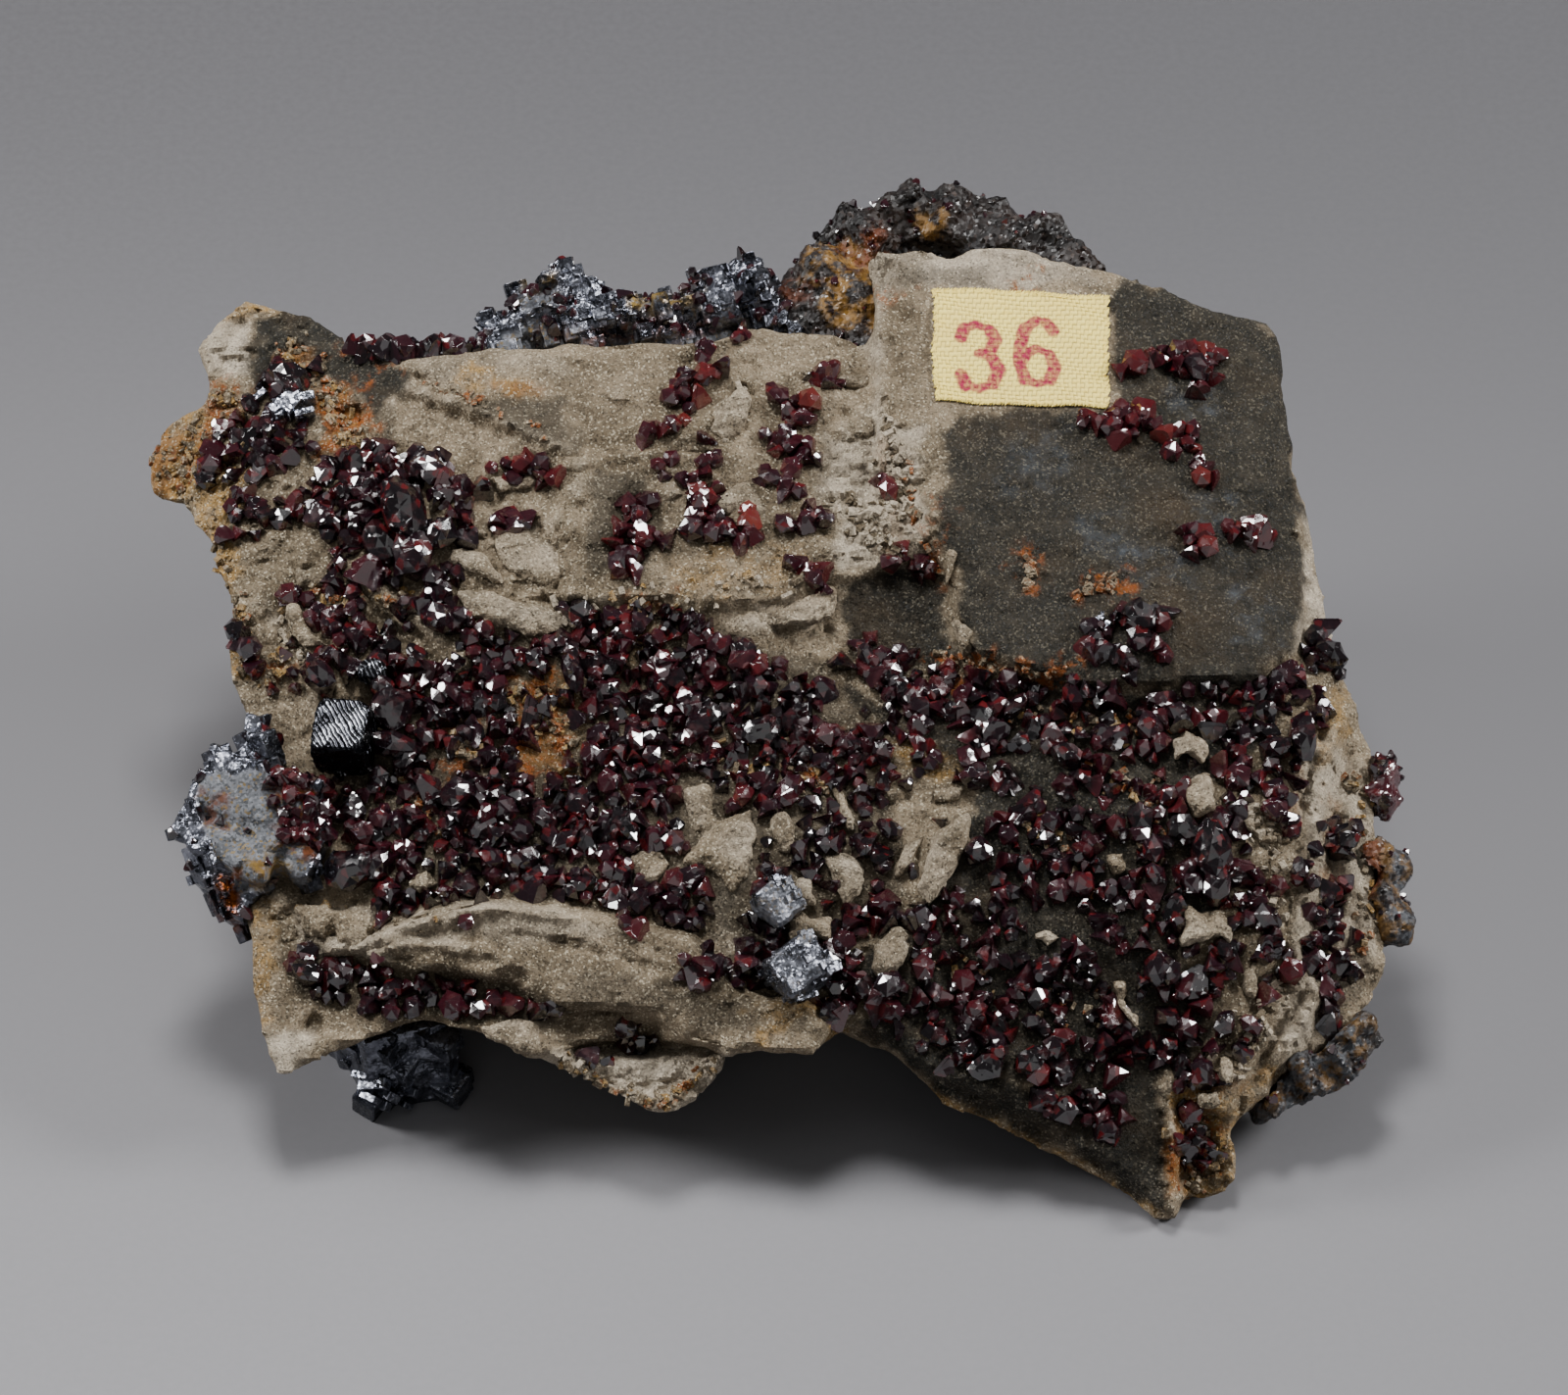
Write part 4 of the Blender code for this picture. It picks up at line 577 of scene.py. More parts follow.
# Rock flakes: thin chips and fins of the same dolomite that broke with the slab and still stand out
# of it, pale on their breaks. Each is an uneven outline sunk in the rock, with a top that dips its own
# way. They are given as a height and a plan.
FLAKE_DEPTH = 2.2
FLAKE_VOXEL = 0.3
FLAKES = [
    (1.0, [(-26.8, 17.2), (-20, 17.8), (-19.4, 14), (-20, 11.5), (-23, 11.6), (-25.5, 13), (-26.7, 15)]),
    (0.9, [(-30.9, 15.2), (-28.5, 15.4), (-27, 13.4), (-25.8, 11.6), (-28, 12.4), (-30.7, 14)]),
    (1.2, [(-30.4, 10.8), (-27.5, 11), (-25, 9.8), (-22.5, 9.5), (-20.5, 8.4), (-20.5, 6.8), (-23, 6.2),
           (-27, 7.3), (-29.2, 8.4)]),
    (0.7, [(-27, 23), (-22.8, 23.2), (-22.6, 21.6), (-26.6, 21.2)]),
    (0.9, [(-46.2, 9.6), (-45, 9.6), (-43.5, 6.5), (-42, 5.3), (-44.5, 5.2), (-45.9, 7.5)]),
    (0.8, [(-45.5, 13.6), (-42.3, 13.2), (-42.6, 11.4), (-45, 11.2)]),
    (1.1, [(-4, 32.5), (-3, 30.8), (-3.4, 28.8), (-4.3, 26.9), (-5.7, 26.6), (-7, 28), (-6.5, 30.3),
           (-5.4, 31)]),
    (0.8, [(-3.6, 22.5), (-2.5, 20.8), (-1.4, 19.3), (-1.7, 18.6), (-5, 19), (-6.9, 20)]),
    (0.8, [(4.5, 33.3), (8, 33.5), (8, 31.9), (6, 32.2)]),
    (0.9, [(6.2, 28.4), (8.3, 29), (8.3, 26.5), (7, 26.8)]),
    (1.6, [(15, 15.3), (15.9, 15), (15.4, 12.5), (14.8, 11)]),
    (1.6, [(14.7, 10.5), (15.8, 8), (18, 6.5), (17.3, 5), (16.5, 3.8), (15.7, 6.5)]),
    (0.7, [(-6.5, 8), (-3, 9.2), (1, 10.2), (4.8, 11.7), (4.6, 8.6), (2.5, 7.5), (-2, 7), (-5.5, 6.2)]),
    (1.5, [(3.5, -16), (5.2, -15.8), (7.3, -17), (7.2, -20), (5.5, -21), (4.6, -19)]),
    (1.3, [(4.3, -9.3), (5.6, -9.2), (6.5, -13), (6.2, -14), (5.2, -12)]),
    (1.3, [(1, -18.3), (2.6, -18.6), (2.8, -21), (1.4, -20.8)]),
    (1.4, [(0.3, -22), (1.8, -21.7), (2.4, -24), (1.2, -24.8), (0.4, -24)]),
    (1.4, [(2, -22.6), (4.3, -22.3), (4.2, -24.7), (2.6, -24.2)]),
    (1.8, [(17, -11.5), (16.8, -15), (15.4, -17.6), (14, -20), (13.2, -21.5), (12.3, -19.5), (13, -16),
           (13.5, -14), (15.4, -12.4)]),
    (1.2, [(10, -18.5), (11, -15), (13, -13.5), (12, -16.5)]),
    (1.9, [(7.8, -27.5), (8.3, -25), (10.5, -23), (11.3, -24.3), (11, -27), (9, -28.8)]),
    (0.8, [(-9.4, -16.6), (-6, -12.5), (-3, -11.5), (-2.5, -14), (-3, -18), (-4.8, -20), (-6.4, -18)]),
    (0.9, [(-1.3, -12), (0, -11.4), (1, -13), (0.8, -16), (-0.8, -15.6)]),
    (0.8, [(-14, -16), (-11.4, -15.5), (-10.5, -17), (-12, -19), (-13.6, -18.4)]),
    (1.8, [(35.7, -4.5), (36.8, -3.5), (38.7, -4.5), (38.6, -6.8), (37.6, -6), (36.8, -5.2), (35.8, -6.5)]),
    (1.9, [(36.8, -9.2), (38, -7.9), (39.2, -7.8), (39.4, -11.5), (38, -12.3), (36.9, -11)]),
    (1.5, [(42, -12), (43, -11.8), (43.3, -13.8), (42.2, -13.4)]),
    (1.1, [(43, -14.2), (45.5, -14), (45.3, -14.8), (43.2, -14.9)]),
    (1.3, [(29.3, -16), (31, -15.8), (31.3, -17.4), (30, -18)]),
    (1.7, [(37, -21), (39.5, -23.8), (38.4, -24.8), (36, -25.2), (36.4, -23)]),
    (1.3, [(38.5, -21.5), (40, -21.6), (41, -23.4), (40.6, -25), (39.2, -24)]),
    (1.5, [(30, -28.6), (31.2, -28.5), (31.3, -30.2), (30.2, -30)]),
    (1.5, [(30, -30.2), (31, -30.6), (32.2, -32.4), (32.8, -34), (31.6, -33), (30.6, -31.6)]),
    (1.6, [(42, -27.4), (43, -27), (43, -30.5), (41.8, -30)]),
    (1.5, [(39.6, -36.4), (41, -37), (40.6, -39.5), (39.4, -38.6)]),
    (1.3, [(37.5, -40), (39.6, -39.8), (40, -41.2), (38, -41.5)]),
    (0.9, [(-28, -33.3), (-25, -32.8), (-22.2, -33), (-22, -36.2), (-24, -36), (-27, -34.5)]),
    (1.3, [(-45, -21.4), (-42, -21), (-41, -22.6), (-42, -24.5), (-44, -24)]),
    (1.3, [(-41.2, -21.8), (-38.4, -21.5), (-37, -23), (-38.6, -26), (-41, -25)]),
    (0.8, [(-9.2, -9.6), (-6.8, -9), (-6.4, -12.6), (-8.6, -14)]),
    (1.1, [(-34.4, -18.6), (-32.6, -17.6), (-31.6, -19.2), (-33.6, -20)]),
    (0.9, [(13.4, -9.4), (16.6, -8.8), (16.2, -10.4), (13.8, -10.8)]),
    (0.8, [(22.6, -24.2), (24, -23.2), (25.4, -24.4), (24, -25.2)]),
]


def uneven(plan, rng, play):
    """A plan with a point in the middle of each side, all moved a little, at random."""
    points = []
    for (x1, s1), (x2, s2) in zip(plan, plan[1:] + plan[:1]):
        points.append((x1 + rng.uniform(-play, play) * 0.5, s1 + rng.uniform(-play, play) * 0.5))
        points.append(((x1 + x2) / 2 + rng.uniform(-play, play), (s1 + s2) / 2 + rng.uniform(-play, play)))
    return points


def height_of(point):
    """The height over the face's middle plane of a point in metres."""
    return face_places(np.array([point]) / MM)[2][0]


rock_tree = BVHTree.FromObject(rock, bpy.context.evaluated_depsgraph_get())


def ground(across, along):
    """The point of the rock that shows at a place of the face, and the way it faces."""
    point, facing, _, _ = rock_tree.ray_cast(face_point(across, along, 40), -RAISE)
    return point, facing


rng = random.Random(5)
bm = bmesh.new()
for high, plan in FLAKES:
    outline = uneven(plan, rng, 0.28)
    middle_x = sum(x for x, _ in outline) / len(outline)
    middle_s = sum(s for _, s in outline) / len(outline)
    level = height_of(ground(middle_x, middle_s)[0]) + high * 0.85
    dip_x, dip_s = rng.uniform(-0.22, 0.22), rng.uniform(-0.05, 0.25)
    ring, inner, foot = [], [], []
    for x, s in outline:
        drop = dip_x * (x - middle_x) + dip_s * (s - middle_s)
        ring.append(bm.verts.new(face_point(x, s, level + drop - rng.uniform(0.2, 0.6) * high)))
        foot.append(bm.verts.new(face_point(x, s, level - FLAKE_DEPTH - high)))
        pull = rng.uniform(0.2, 0.5)
        x, s = x + (middle_x - x) * pull, s + (middle_s - s) * pull
        inner.append(bm.verts.new(face_point(x, s, level + drop * 0.6 + rng.uniform(0.0, 0.35) * high)))
    peak = bm.verts.new(face_point(middle_x, middle_s, level + rng.uniform(0.1, 0.4) * high))
    bottom = bm.verts.new(face_point(middle_x, middle_s, level - FLAKE_DEPTH - high))
    count = len(ring)
    for i in range(count):
        j = (i + 1) % count
        bm.faces.new((ring[i], ring[j], inner[j], inner[i]))
        bm.faces.new((inner[i], inner[j], peak))
        bm.faces.new((foot[i], foot[j], ring[j], ring[i]))
        bm.faces.new((foot[j], foot[i], bottom))
bmesh.ops.recalc_face_normals(bm, faces=bm.faces)
flakes = bpy.data.objects.new("rock_flakes", bpy.data.meshes.new("rock_flakes"))
bm.to_mesh(flakes.data)
bm.free()
bpy.context.collection.objects.link(flakes)
pick(flakes)
apply_modifier(flakes, "REMESH", mode="VOXEL", voxel_size=FLAKE_VOXEL * MM)
apply_modifier(flakes, "SMOOTH", factor=0.5, iterations=2)
flake_places, flake_normals = vertex_places(flakes.data)
push = 0.34 * facets_at(flake_places, 1.5, 3.0) + 0.3 * facets_at(flake_places, 0.7, 6.0)
push += 0.12 * noise_at(flake_places, 0.6, 5.0)
set_places(flakes.data, flake_places + push[:, None] * flake_normals)
set_attribute(flakes.data, "pale", 0.32 + 0.6 * noise_at(flake_places, 4.0, 2.0))
set_attribute(flakes.data, "halo", soft_step(-noise_at(flake_places, 2.5, 7.0), -0.15, 0.4) * 0.85)
flakes.data.materials.append(dolomite)
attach(flakes, "root")

# Sphalerite: about 1,900 small crystals of zinc sulphide that grew on the rock, as a crust, in groups
# and in clusters, and forty larger ones. Each is a blunt three-sided pyramid or a squat many-sided
# crystal. The crust and the groups are plans, planted in uneven rows, and THIN gives the share that is
# left in a plan. A cluster is a place with its count, and a large crystal a place with its size.
CRUST_SPACING = 1.34
CRYSTAL_SINK = 0.22
CRUST = [
    (-47, 11.4), (-41, 12), (-37, 9.6), (-33, 11.4), (-28, 10.4), (-25, 7.8), (-20, 9.4), (-10.5, 9.4),
    (-7, 7), (-1.5, 4), (3, 2.4), (6, 3.8), (9.5, 5.2), (12, 3), (17, 2.6), (22, 2.2), (27, 2.4),
    (31, 0.4), (36, 0.8), (42, 1.2), (47, 2), (50, 4), (50.6, -1), (48.8, -4.4), (46.6, -9.5),
    (46.8, -13), (43.4, -12.4), (41.8, -17), (45, -21), (44.8, -27), (44.6, -31), (42.8, -35),
    (39.6, -37.4), (38.6, -40.6), (36, -39.6), (33, -36.3), (29.4, -38.6), (31.6, -43),
    (28, -44.4), (24, -41), (20, -39), (14, -36.8), (9, -32.9), (5.6, -31.2), (3, -29.6),
    (-2.4, -29.6), (-6.4, -29), (-6.4, -23.4), (-12, -22.8), (-16, -21.4), (-24, -20.2),
    (-30, -20.4), (-34, -21.8), (-37, -23), (-39, -20.6), (-39.8, -14), (-42.4, -12), (-41, -8.6),
    (-36.2, -7.4), (-34.8, -1), (-35.6, 1), (-45, 0.6), (-49.6, 1), (-48, 5.5), (-44.6, 6),
]
GROUPS = [
    [(-45.2, 20.6), (-43.6, 23.2), (-40.8, 25.4), (-37, 26.6), (-32.6, 25.2), (-29.4, 24), (-28, 20),
     (-29.6, 16.8), (-27.8, 14.8), (-29.8, 11.6), (-33.6, 10.6), (-37.2, 11), (-39.8, 13), (-42, 15),
     (-43.4, 17.6)],
    [(-46, -26.6), (-42, -25.6), (-38, -26.8), (-34, -28.2), (-30, -28.2), (-26, -29.4), (-20.6, -31.4),
     (-21, -33.4), (-26, -33.2), (-30, -32.0), (-34, -32.0), (-38, -31.2), (-44, -30.2)],
    [(-50.8, 20), (-54, 23.4), (-53.6, 27), (-50.8, 28.8), (-46.6, 29.4), (-43.8, 26.4), (-47.4, 23.8),
     (-49.4, 21.8)],
]
THIN = [
    (0.0, [(-9.9, -17), (-6, -12.3), (-3, -11.2), (-2.3, -14), (-2.8, -18), (-3.6, -21), (-3.3, -27),
           (-5.8, -27), (-6.8, -18.5)]),
    (0.0, [(-9.6, -8.8), (-6.3, -8.8), (-6.3, -14.2), (-9, -14.2)]),
    (0.7, [(18, 2), (48, 2), (46, -40), (33, -42), (20, -40), (6, -31), (12, -22), (18, -20)]),
    (0.35, [(-25.5, 2), (-20, 3), (-18, -8), (-24, -8)]),
    (0.3, [(-32, -3), (-28.5, -3), (-28.5, -8), (-32, -8)]),
    (0.3, [(9.7, -3), (16.4, -3), (16.4, -7.3), (9.7, -7.3)]),
    (0.2, [(20, -4), (28, -4), (27, -9), (21, -9)]),
    (0.1, [(21, -21.5), (30, -21.5), (30, -25), (22, -25)]),
    (0.1, [(28, -25), (34.5, -25), (34, -29), (29, -29)]),
    (0.1, [(32, -31), (37, -31), (37, -35), (32, -35)]),
    (0.15, [(31, -36), (35, -36), (35, -41), (31, -41)]),
    (0.18, [(9.6, -9), (19.5, -8), (19, -21), (9.6, -21.5)]),
    (0.35, [(42, -10), (47, -10), (46, -30), (43.2, -26)]),
    (0.15, [(3.5, 2.4), (9, 4), (10, -2.6), (5, -4)]),
    (0.3, [(-40, 8), (-34.5, 11), (-29, 4), (-35, 4.2)]),
    (0.4, [(-48, 6.4), (-42, 6.4), (-45, 0), (-50, 0)]),
    (0.4, [(8, -33), (16, -34), (22, -39), (28, -44.6), (20, -42), (10, -37)]),
]
CLUSTERS = {
    (-9.4, 31.4): 5, (-8.6, 33.2): 5, (-6.6, 33.6): 4, (-7.6, 35.2): 3, (-0.6, 31.0): 2, (0.6, 29.4): 4,
    (2.6, 28.9): 3, (3.6, 33.4): 3, (4.4, 32.4): 2, (-0.4, 26.4): 3, (0.8, 26.4): 4, (1.4, 24.4): 4,
    (-1.2, 22.4): 4, (0, 20.8): 2, (-6.4, 25.4): 4, (-7.2, 24.0): 3, (-10.2, 24.2): 3, (-9.4, 22.4): 3,
    (-8.6, 21): 4, (-6.4, 21.4): 3, (-8.2, 18.6): 3, (-6.4, 18.2): 5, (-5, 16.8): 4, (-3, 18): 3,
    (-13.6, 20.2): 4, (-14.4, 18.6): 4, (-13.2, 17): 5, (-11.6, 16.4): 3, (-14.6, 15.2): 3,
    (-15.2, 12.8): 3, (1.4, 17.4): 4, (3.2, 18.8): 4, (2.4, 13.2): 4, (3.6, 11.2): 2, (-8.6, 7.6): 6,
    (33.0, 34.4): 3, (35, 35.2): 4, (36.6, 34.4): 4, (38.6, 34.4): 6, (39.8, 34.6): 4, (38.8, 32): 3,
    (29.2, 28.2): 4, (30.6, 27.6): 4, (32.4, 28.6): 4, (33.8, 28.4): 4, (35.2, 27): 3, (37.4, 26): 5,
    (38.4, 24.4): 4, (38.8, 22.6): 2, (37.6, 16.2): 5, (39, 15.6): 3, (41, 17.4): 2, (43, 16.8): 6,
    (44.2, 16.4): 2, (28.2, 7.4): 3, (28.4, 4.4): 4, (30.4, 4.2): 2, (32, 7.4): 5, (33.4, 7.8): 5,
    (33.8, 5.6): 4, (32, 3.6): 4, (-26, 24.2): 3, (-24.4, 23.8): 3, (-22.8, 23): 3, (-26.2, 18): 3,
    (-24, 18.4): 2, (-12.9, 26.4): 2, (-10.6, 28): 3, (-21, 23): 2, (9, 22.4): 2, (11, 14.6): 4,
    (12.6, 12.4): 3, (13.8, 12.8): 2, (49.6, 6): 4, (50.4, 3.4): 5, (48.6, 3.6): 4, (47.2, 2): 3,
    (50.6, -13): 3, (50.2, -15.4): 4, (51.2, -13.8): 3, (50.4, -19.2): 3, (49.6, -20.8): 3,
    (48.8, -23): 4, (48.2, -25.4): 3, (51, -23.4): 4, (46.8, -27.4): 4, (49, -27): 5, (51, -27.4): 5,
    (49.2, -29.4): 4, (49.6, -31.4): 3, (50.2, -33.2): 3, (46.8, -18.4): 4, (44.8, -19.6): 3,
    (42.6, -22.6): 6, (44.4, -24.4): 4, (46.2, -12.4): 4, (36.8, -44.6): 5, (38, -45.6): 5,
    (36.4, -47.2): 3, (36.4, -38.4): 5, (38.4, -38.2): 5, (36.6, -41.2): 3, (-8.2, -28): 4,
    (-7.4, -27): 3, (-17.8, -36.6): 2, (-13.2, -35): 5, (-14.6, -34.4): 4, (-29, -22.4): 1,
    (-13.4, -23.6): 3, (-9.8, -22.6): 3, (5.2, -31.6): 5, (4.2, -31): 4, (7.8, 4.4): 4, (8.6, 2): 5,
    (-47.4, 33): 4, (-46.2, 31.6): 5, (-51, 20.4): 4, (-49.4, 19.4): 4, (-48, 18.8): 2, (-45.6, 20): 3,
    (-50.6, 17): 3, (-46.6, 10.6): 3, (-50.4, 5.4): 4, (-50.8, 0.6): 4, (-45, -12.6): 5, (-46, -13): 4,
    (-43.6, -13.8): 4, (-44.6, -9.6): 3, (-38, 22.6): 4, (-44, 34.4): 1, (-5.6, 38): 4, (-3.8, 38.4): 3,
}
LARGE = [
    (-36.4, -1.2, 4.6), (-36.0, -4.8, 4.4), (-37.4, 1.2, 3.2), (-42.8, 1.8, 4.0), (-34.8, -6.8, 3.0),
    (-35.2, 18.4, 6.0), (-34.4, 14.4, 5.6), (-37.6, 15.4, 4.2), (-32.2, 17.2, 4.0), (-33.0, 23.2, 3.6),
    (47.6, -4.4, 4.6), (45.2, -5.4, 3.6), (38.4, -16.0, 5.4), (39.4, -19.2, 4.2), (36.6, -13.4, 3.4),
    (-39.6, -18.4, 5.4), (-36.9, -17.8, 3.0), (32.6, 8.0, 3.6), (22.4, -36.8, 3.6), (33.6, -27.4, 3.2),
    (40.0, -33.2, 3.2), (-14.4, -13.6, 2.8), (17.6, -16.0, 3.2), (9.8, -13.8, 2.8), (-31.8, 8.4, 3.8),
    (-29.8, -10.4, 3.4), (38.2, -38.0, 3.0), (-36.0, -29.6, 3.0), (-43.6, -28.4, 3.2), (38.6, 34.2, 3.4),
    (50.2, 3.6, 3.4), (-46.8, 32.6, 4.4), (26.2, -6.4, 3.2), (-2.2, -3.4, 3.6), (-19.4, 2.6, 3.2),
    (18.4, -37.4, 3.2), (-24.0, -13.8, 2.9), (-49.8, 30.2, 2.6), (21.0, -1.0, 2.8), (35.2, -27.8, 3.0),
]


def crystal_shape(sides, top, flatness, corner_cut):
    """The points and faces of one crystal, a unit across and standing on its middle."""
    bpy.ops.object.select_all(action="DESELECT")
    bpy.ops.mesh.primitive_cone_add(vertices=sides, radius1=0.6, radius2=top, depth=flatness)
    shape = bpy.context.object
    bpy.ops.object.mode_set(mode="EDIT")
    bpy.ops.mesh.select_all(action="SELECT")
    bpy.ops.mesh.bevel(offset=corner_cut, segments=1, affect="VERTICES")
    bpy.ops.mesh.quads_convert_to_tris()
    bpy.ops.object.mode_set(mode="OBJECT")
    points = np.array([vertex.co for vertex in shape.data.vertices])
    faces = [list(polygon.vertices) for polygon in shape.data.polygons]
    bpy.data.objects.remove(shape)
    return points, faces


def squat_shape(stretch, halvings=1, play=0.0):
    """The points and faces of a squat crystal with many faces, a unit across."""
    bpy.ops.object.select_all(action="DESELECT")
    bpy.ops.mesh.primitive_ico_sphere_add(subdivisions=halvings, radius=0.5)
    shape = bpy.context.object
    points = np.array([vertex.co * (1 + rng.uniform(-play, play)) for vertex in shape.data.vertices])
    points = points * np.array(stretch)
    faces = [list(polygon.vertices) for polygon in shape.data.polygons]
    bpy.data.objects.remove(shape)
    return points, faces


def leaning(axis, amount):
    """An axis turned a little, at random."""
    push = Vector([rng.uniform(-1, 1) for _ in range(3)])
    return (axis + push * amount).normalized()


def standing(axis):
    """The turn that stands a crystal up along an axis, spun at random."""
    return axis.to_track_quat("Z", "Y").to_matrix() @ Matrix.Rotation(rng.uniform(0, math.tau), 3, "Z")


def joined_crystals(name, plants, shapes):
    """One mesh of crystals, each given by its place, turn, size and tone."""
    all_points, all_faces, tones = [], [], []
    count = 0
    for place, turn, size, tone in plants:
        points, faces = shapes[rng.randrange(len(shapes))]
        stretch = np.array([rng.uniform(0.8, 1.15), rng.uniform(0.8, 1.15), rng.uniform(0.8, 1.2)])
        all_points.append((points * stretch * size * MM) @ np.array(turn).T + np.array(place))
        all_faces += [[count + i for i in face] for face in faces]
        tones.append(np.full(len(points), tone))
        count += len(points)
    mesh = bpy.data.meshes.new(name)
    mesh.from_pydata(np.concatenate(all_points), [], all_faces)
    set_attribute(mesh, "tone", np.concatenate(tones))
    places, _ = vertex_places(mesh)
    set_places(mesh, places)
    piece = bpy.data.objects.new(name, mesh)
    bpy.context.collection.objects.link(piece)
    return piece


def grown(across, along, size, lean=0.55):
    """A crystal that grew on the rock at a place of its face."""
    point, facing = ground(across, along)
    if point is None:
        return None
    axis = leaning(facing, lean)
    tone = 0.86 * rng.random() ** 1.3
    if along > 12 and across > 20:
        tone = 0.62 + 0.44 * tone
    elif along > 11 and across > -28:
        tone = 0.46 + 0.6 * tone
    return point + axis * size * (0.5 - CRYSTAL_SINK) * MM * 0.8, standing(axis), size, tone


CRYSTAL_SHAPES = [
    crystal_shape(3, 0.16, 0.95, 0.16), crystal_shape(3, 0.26, 0.75, 0.20),
    crystal_shape(3, 0.08, 0.85, 0.10), crystal_shape(4, 0.18, 0.8, 0.14),
    crystal_shape(3, 0.34, 0.6, 0.22), crystal_shape(5, 0.2, 0.7, 0.08),
    squat_shape((1.0, 0.9, 0.8)), squat_shape((0.9, 1.0, 0.95)),
]
LARGE_SHAPES = [
    squat_shape((1.0, 0.9, 0.7), 2, 0.2), squat_shape((0.8, 1.05, 0.8), 2, 0.2),
    squat_shape((0.95, 0.75, 1.05), 2, 0.24),
]
plants = []
row_gap = CRUST_SPACING * 0.87
for plan in [CRUST] + GROUPS:
    (low_x, low_s), (high_x, high_s) = np.min(plan, axis=0), np.max(plan, axis=0)
    spots = []
    for row in range(math.ceil((high_s - low_s) / row_gap) + 1):
        for column in range(math.ceil((high_x - low_x) / CRUST_SPACING) + 1):
            x = low_x + CRUST_SPACING * (column + 0.5 * (row % 2) + rng.uniform(-0.42, 0.42))
            spots.append((x, low_s + CRUST_SPACING * (0.87 * row + rng.uniform(-0.42, 0.42))))
    spot_x, spot_s = np.array(spots).T
    share = soft_step(border_distance(plan, spot_x, spot_s), -0.9, 0.8)
    for kept, patch in THIN:
        thinned = soft_step(border_distance(patch, spot_x, spot_s), -0.6, 0.5)
        share = np.minimum(share, 1 - (1 - kept) * thinned)
    for _, patch in FLAKES:
        share = np.where(border_distance(patch, spot_x, spot_s) > -0.4, 0, share)
    for x, s, size in LARGE:
        share = np.where(np.hypot(spot_x - x, spot_s - s) < size * 0.42, 0, share)
    for x, s, chance in zip(spot_x, spot_s, share):
        if rng.random() < chance:
            plants.append(grown(x, s, 1.5 + 1.6 * rng.random() ** 1.7))
for (x, s), count in CLUSTERS.items():
    for i in range(count):
        reach = 0.0 if i == 0 else rng.uniform(0.7, 1.7)
        angle = rng.uniform(0, math.tau)
        size = rng.uniform(1.5, 2.8)
        plants.append(grown(x + reach * math.cos(angle), s + reach * math.sin(angle), size))
large_plants = []
for x, s, size in LARGE:
    place, turn, size, tone = grown(x, s, size, 0.3)
    large_plants.append((place, turn, size, tone * 0.3))
plants = [plant for plant in plants if plant]
sphalerite = joined_crystals("sphalerite_crystals", plants, CRYSTAL_SHAPES)
big_crystals = joined_crystals("sphalerite_large", large_plants, LARGE_SHAPES)

# The ground of the crystals: the rock is darkened olive brown round them as painted shade, most where
# they stand close together, and in its hollows that face up, and it is stained brown in a few plans of
# its own, each with its strength.
LIP_FRONT = [(-24, -35), (-4, -34.5), (-4, -46), (-24, -46)]
BROWN_GROUND = [
    (0.8, [(14, 32), (31, 31), (32, 27), (24, 25), (17, 27)]),
    (0.9, [(19, 46.6), (28, 45.6), (31.6, 43), (30, 41)]),
    (0.9, [(30.4, 43.6), (36, 42), (37, 38), (31, 38)]),
    (0.7, [(-31, 31), (-20, 31.4), (-19, 28), (-27, 29)]),
    (0.7, [(-42, -26), (-48, -30), (-44, -32), (-36, -31)]),
    (0.35, [(-12, -27), (-2, -29.6), (-2, -33), (-12, -31.4)]),
    (0.6, [(-27, 31), (-17, 31.5), (-13, 27), (-18, 24), (-24, 27)]),
    (0.9, [(-21, 17), (-16, 18), (-15, 11), (-22, 11)]),
    (0.8, [(-10, 14), (-4, 15), (0, 12.4), (-8, 11.4)]),
    (0.9, [(-17, 26), (-10, 27), (-9, 13), (-17, 12)]),
    (0.5, [(-8, 22), (-2, 20), (4, 19), (3, 11), (-12, 10.6), (-9, 17)]),
    (1.0, [(9, 47), (13.4, 47), (13.4, 31), (9.4, 31)]),
    (0.6, [(-36, 38), (-26, 38), (-27, 33), (-35, 33)]),
    (0.9, [(-45, 28.6), (-41, 28.8), (-41, 24.6), (-45, 24.4)]),
    (0.9, [(-21, -25.8), (-14.6, -26.4), (-14.6, -29), (-21, -28.4)]),
    (0.7, [(-27, -23.4), (-18, -23.4), (-18, -27), (-27, -27)]),
    (0.8, [(4, -17), (9, -17), (9, -22), (4, -22)]),
    (0.1, [(11, 31), (14, 31), (14, 26), (12, 27)]),
    (0.6, [(-24, 36), (-10, 36), (-11, 27), (-21, 27)]),
    (0.5, [(-36, 27), (-30, 28), (-28, 25), (-36, 24)]),
    (0.6, [(47, 0), (50, -2), (49, -8), (46.4, -6)]),
]
crystal_tree = KDTree(len(plants))
for i, (place, _, _, _) in enumerate(plants):
    crystal_tree.insert(place, i)
crystal_tree.balance()
third_nearest = np.array([crystal_tree.find_n(vertex.co, 3)[2][2] / MM for vertex in rock.data.vertices])
# Painted shade: the ground darkens where crystals stand close.
halo = soft_step(3.6 - third_nearest + blur * 0.7, 0.0, 2.2) * (1 - label_ground)
halo = np.maximum(halo, hollow * (1 - 0.6 * stains_and_painted_light["pale"]))
halo *= 1 - 0.8 * soft_step(border_distance(LIP_FRONT, across, along), -0.5, 1.5)
for strength, plan in BROWN_GROUND:
    halo = np.maximum(halo, strength * soft_step(border_distance(plan, across, along) + blur, -1.0, 1.5))
set_attribute(rock.data, "halo", halo * (1 - 0.8 * stains_and_painted_light["druse"]))
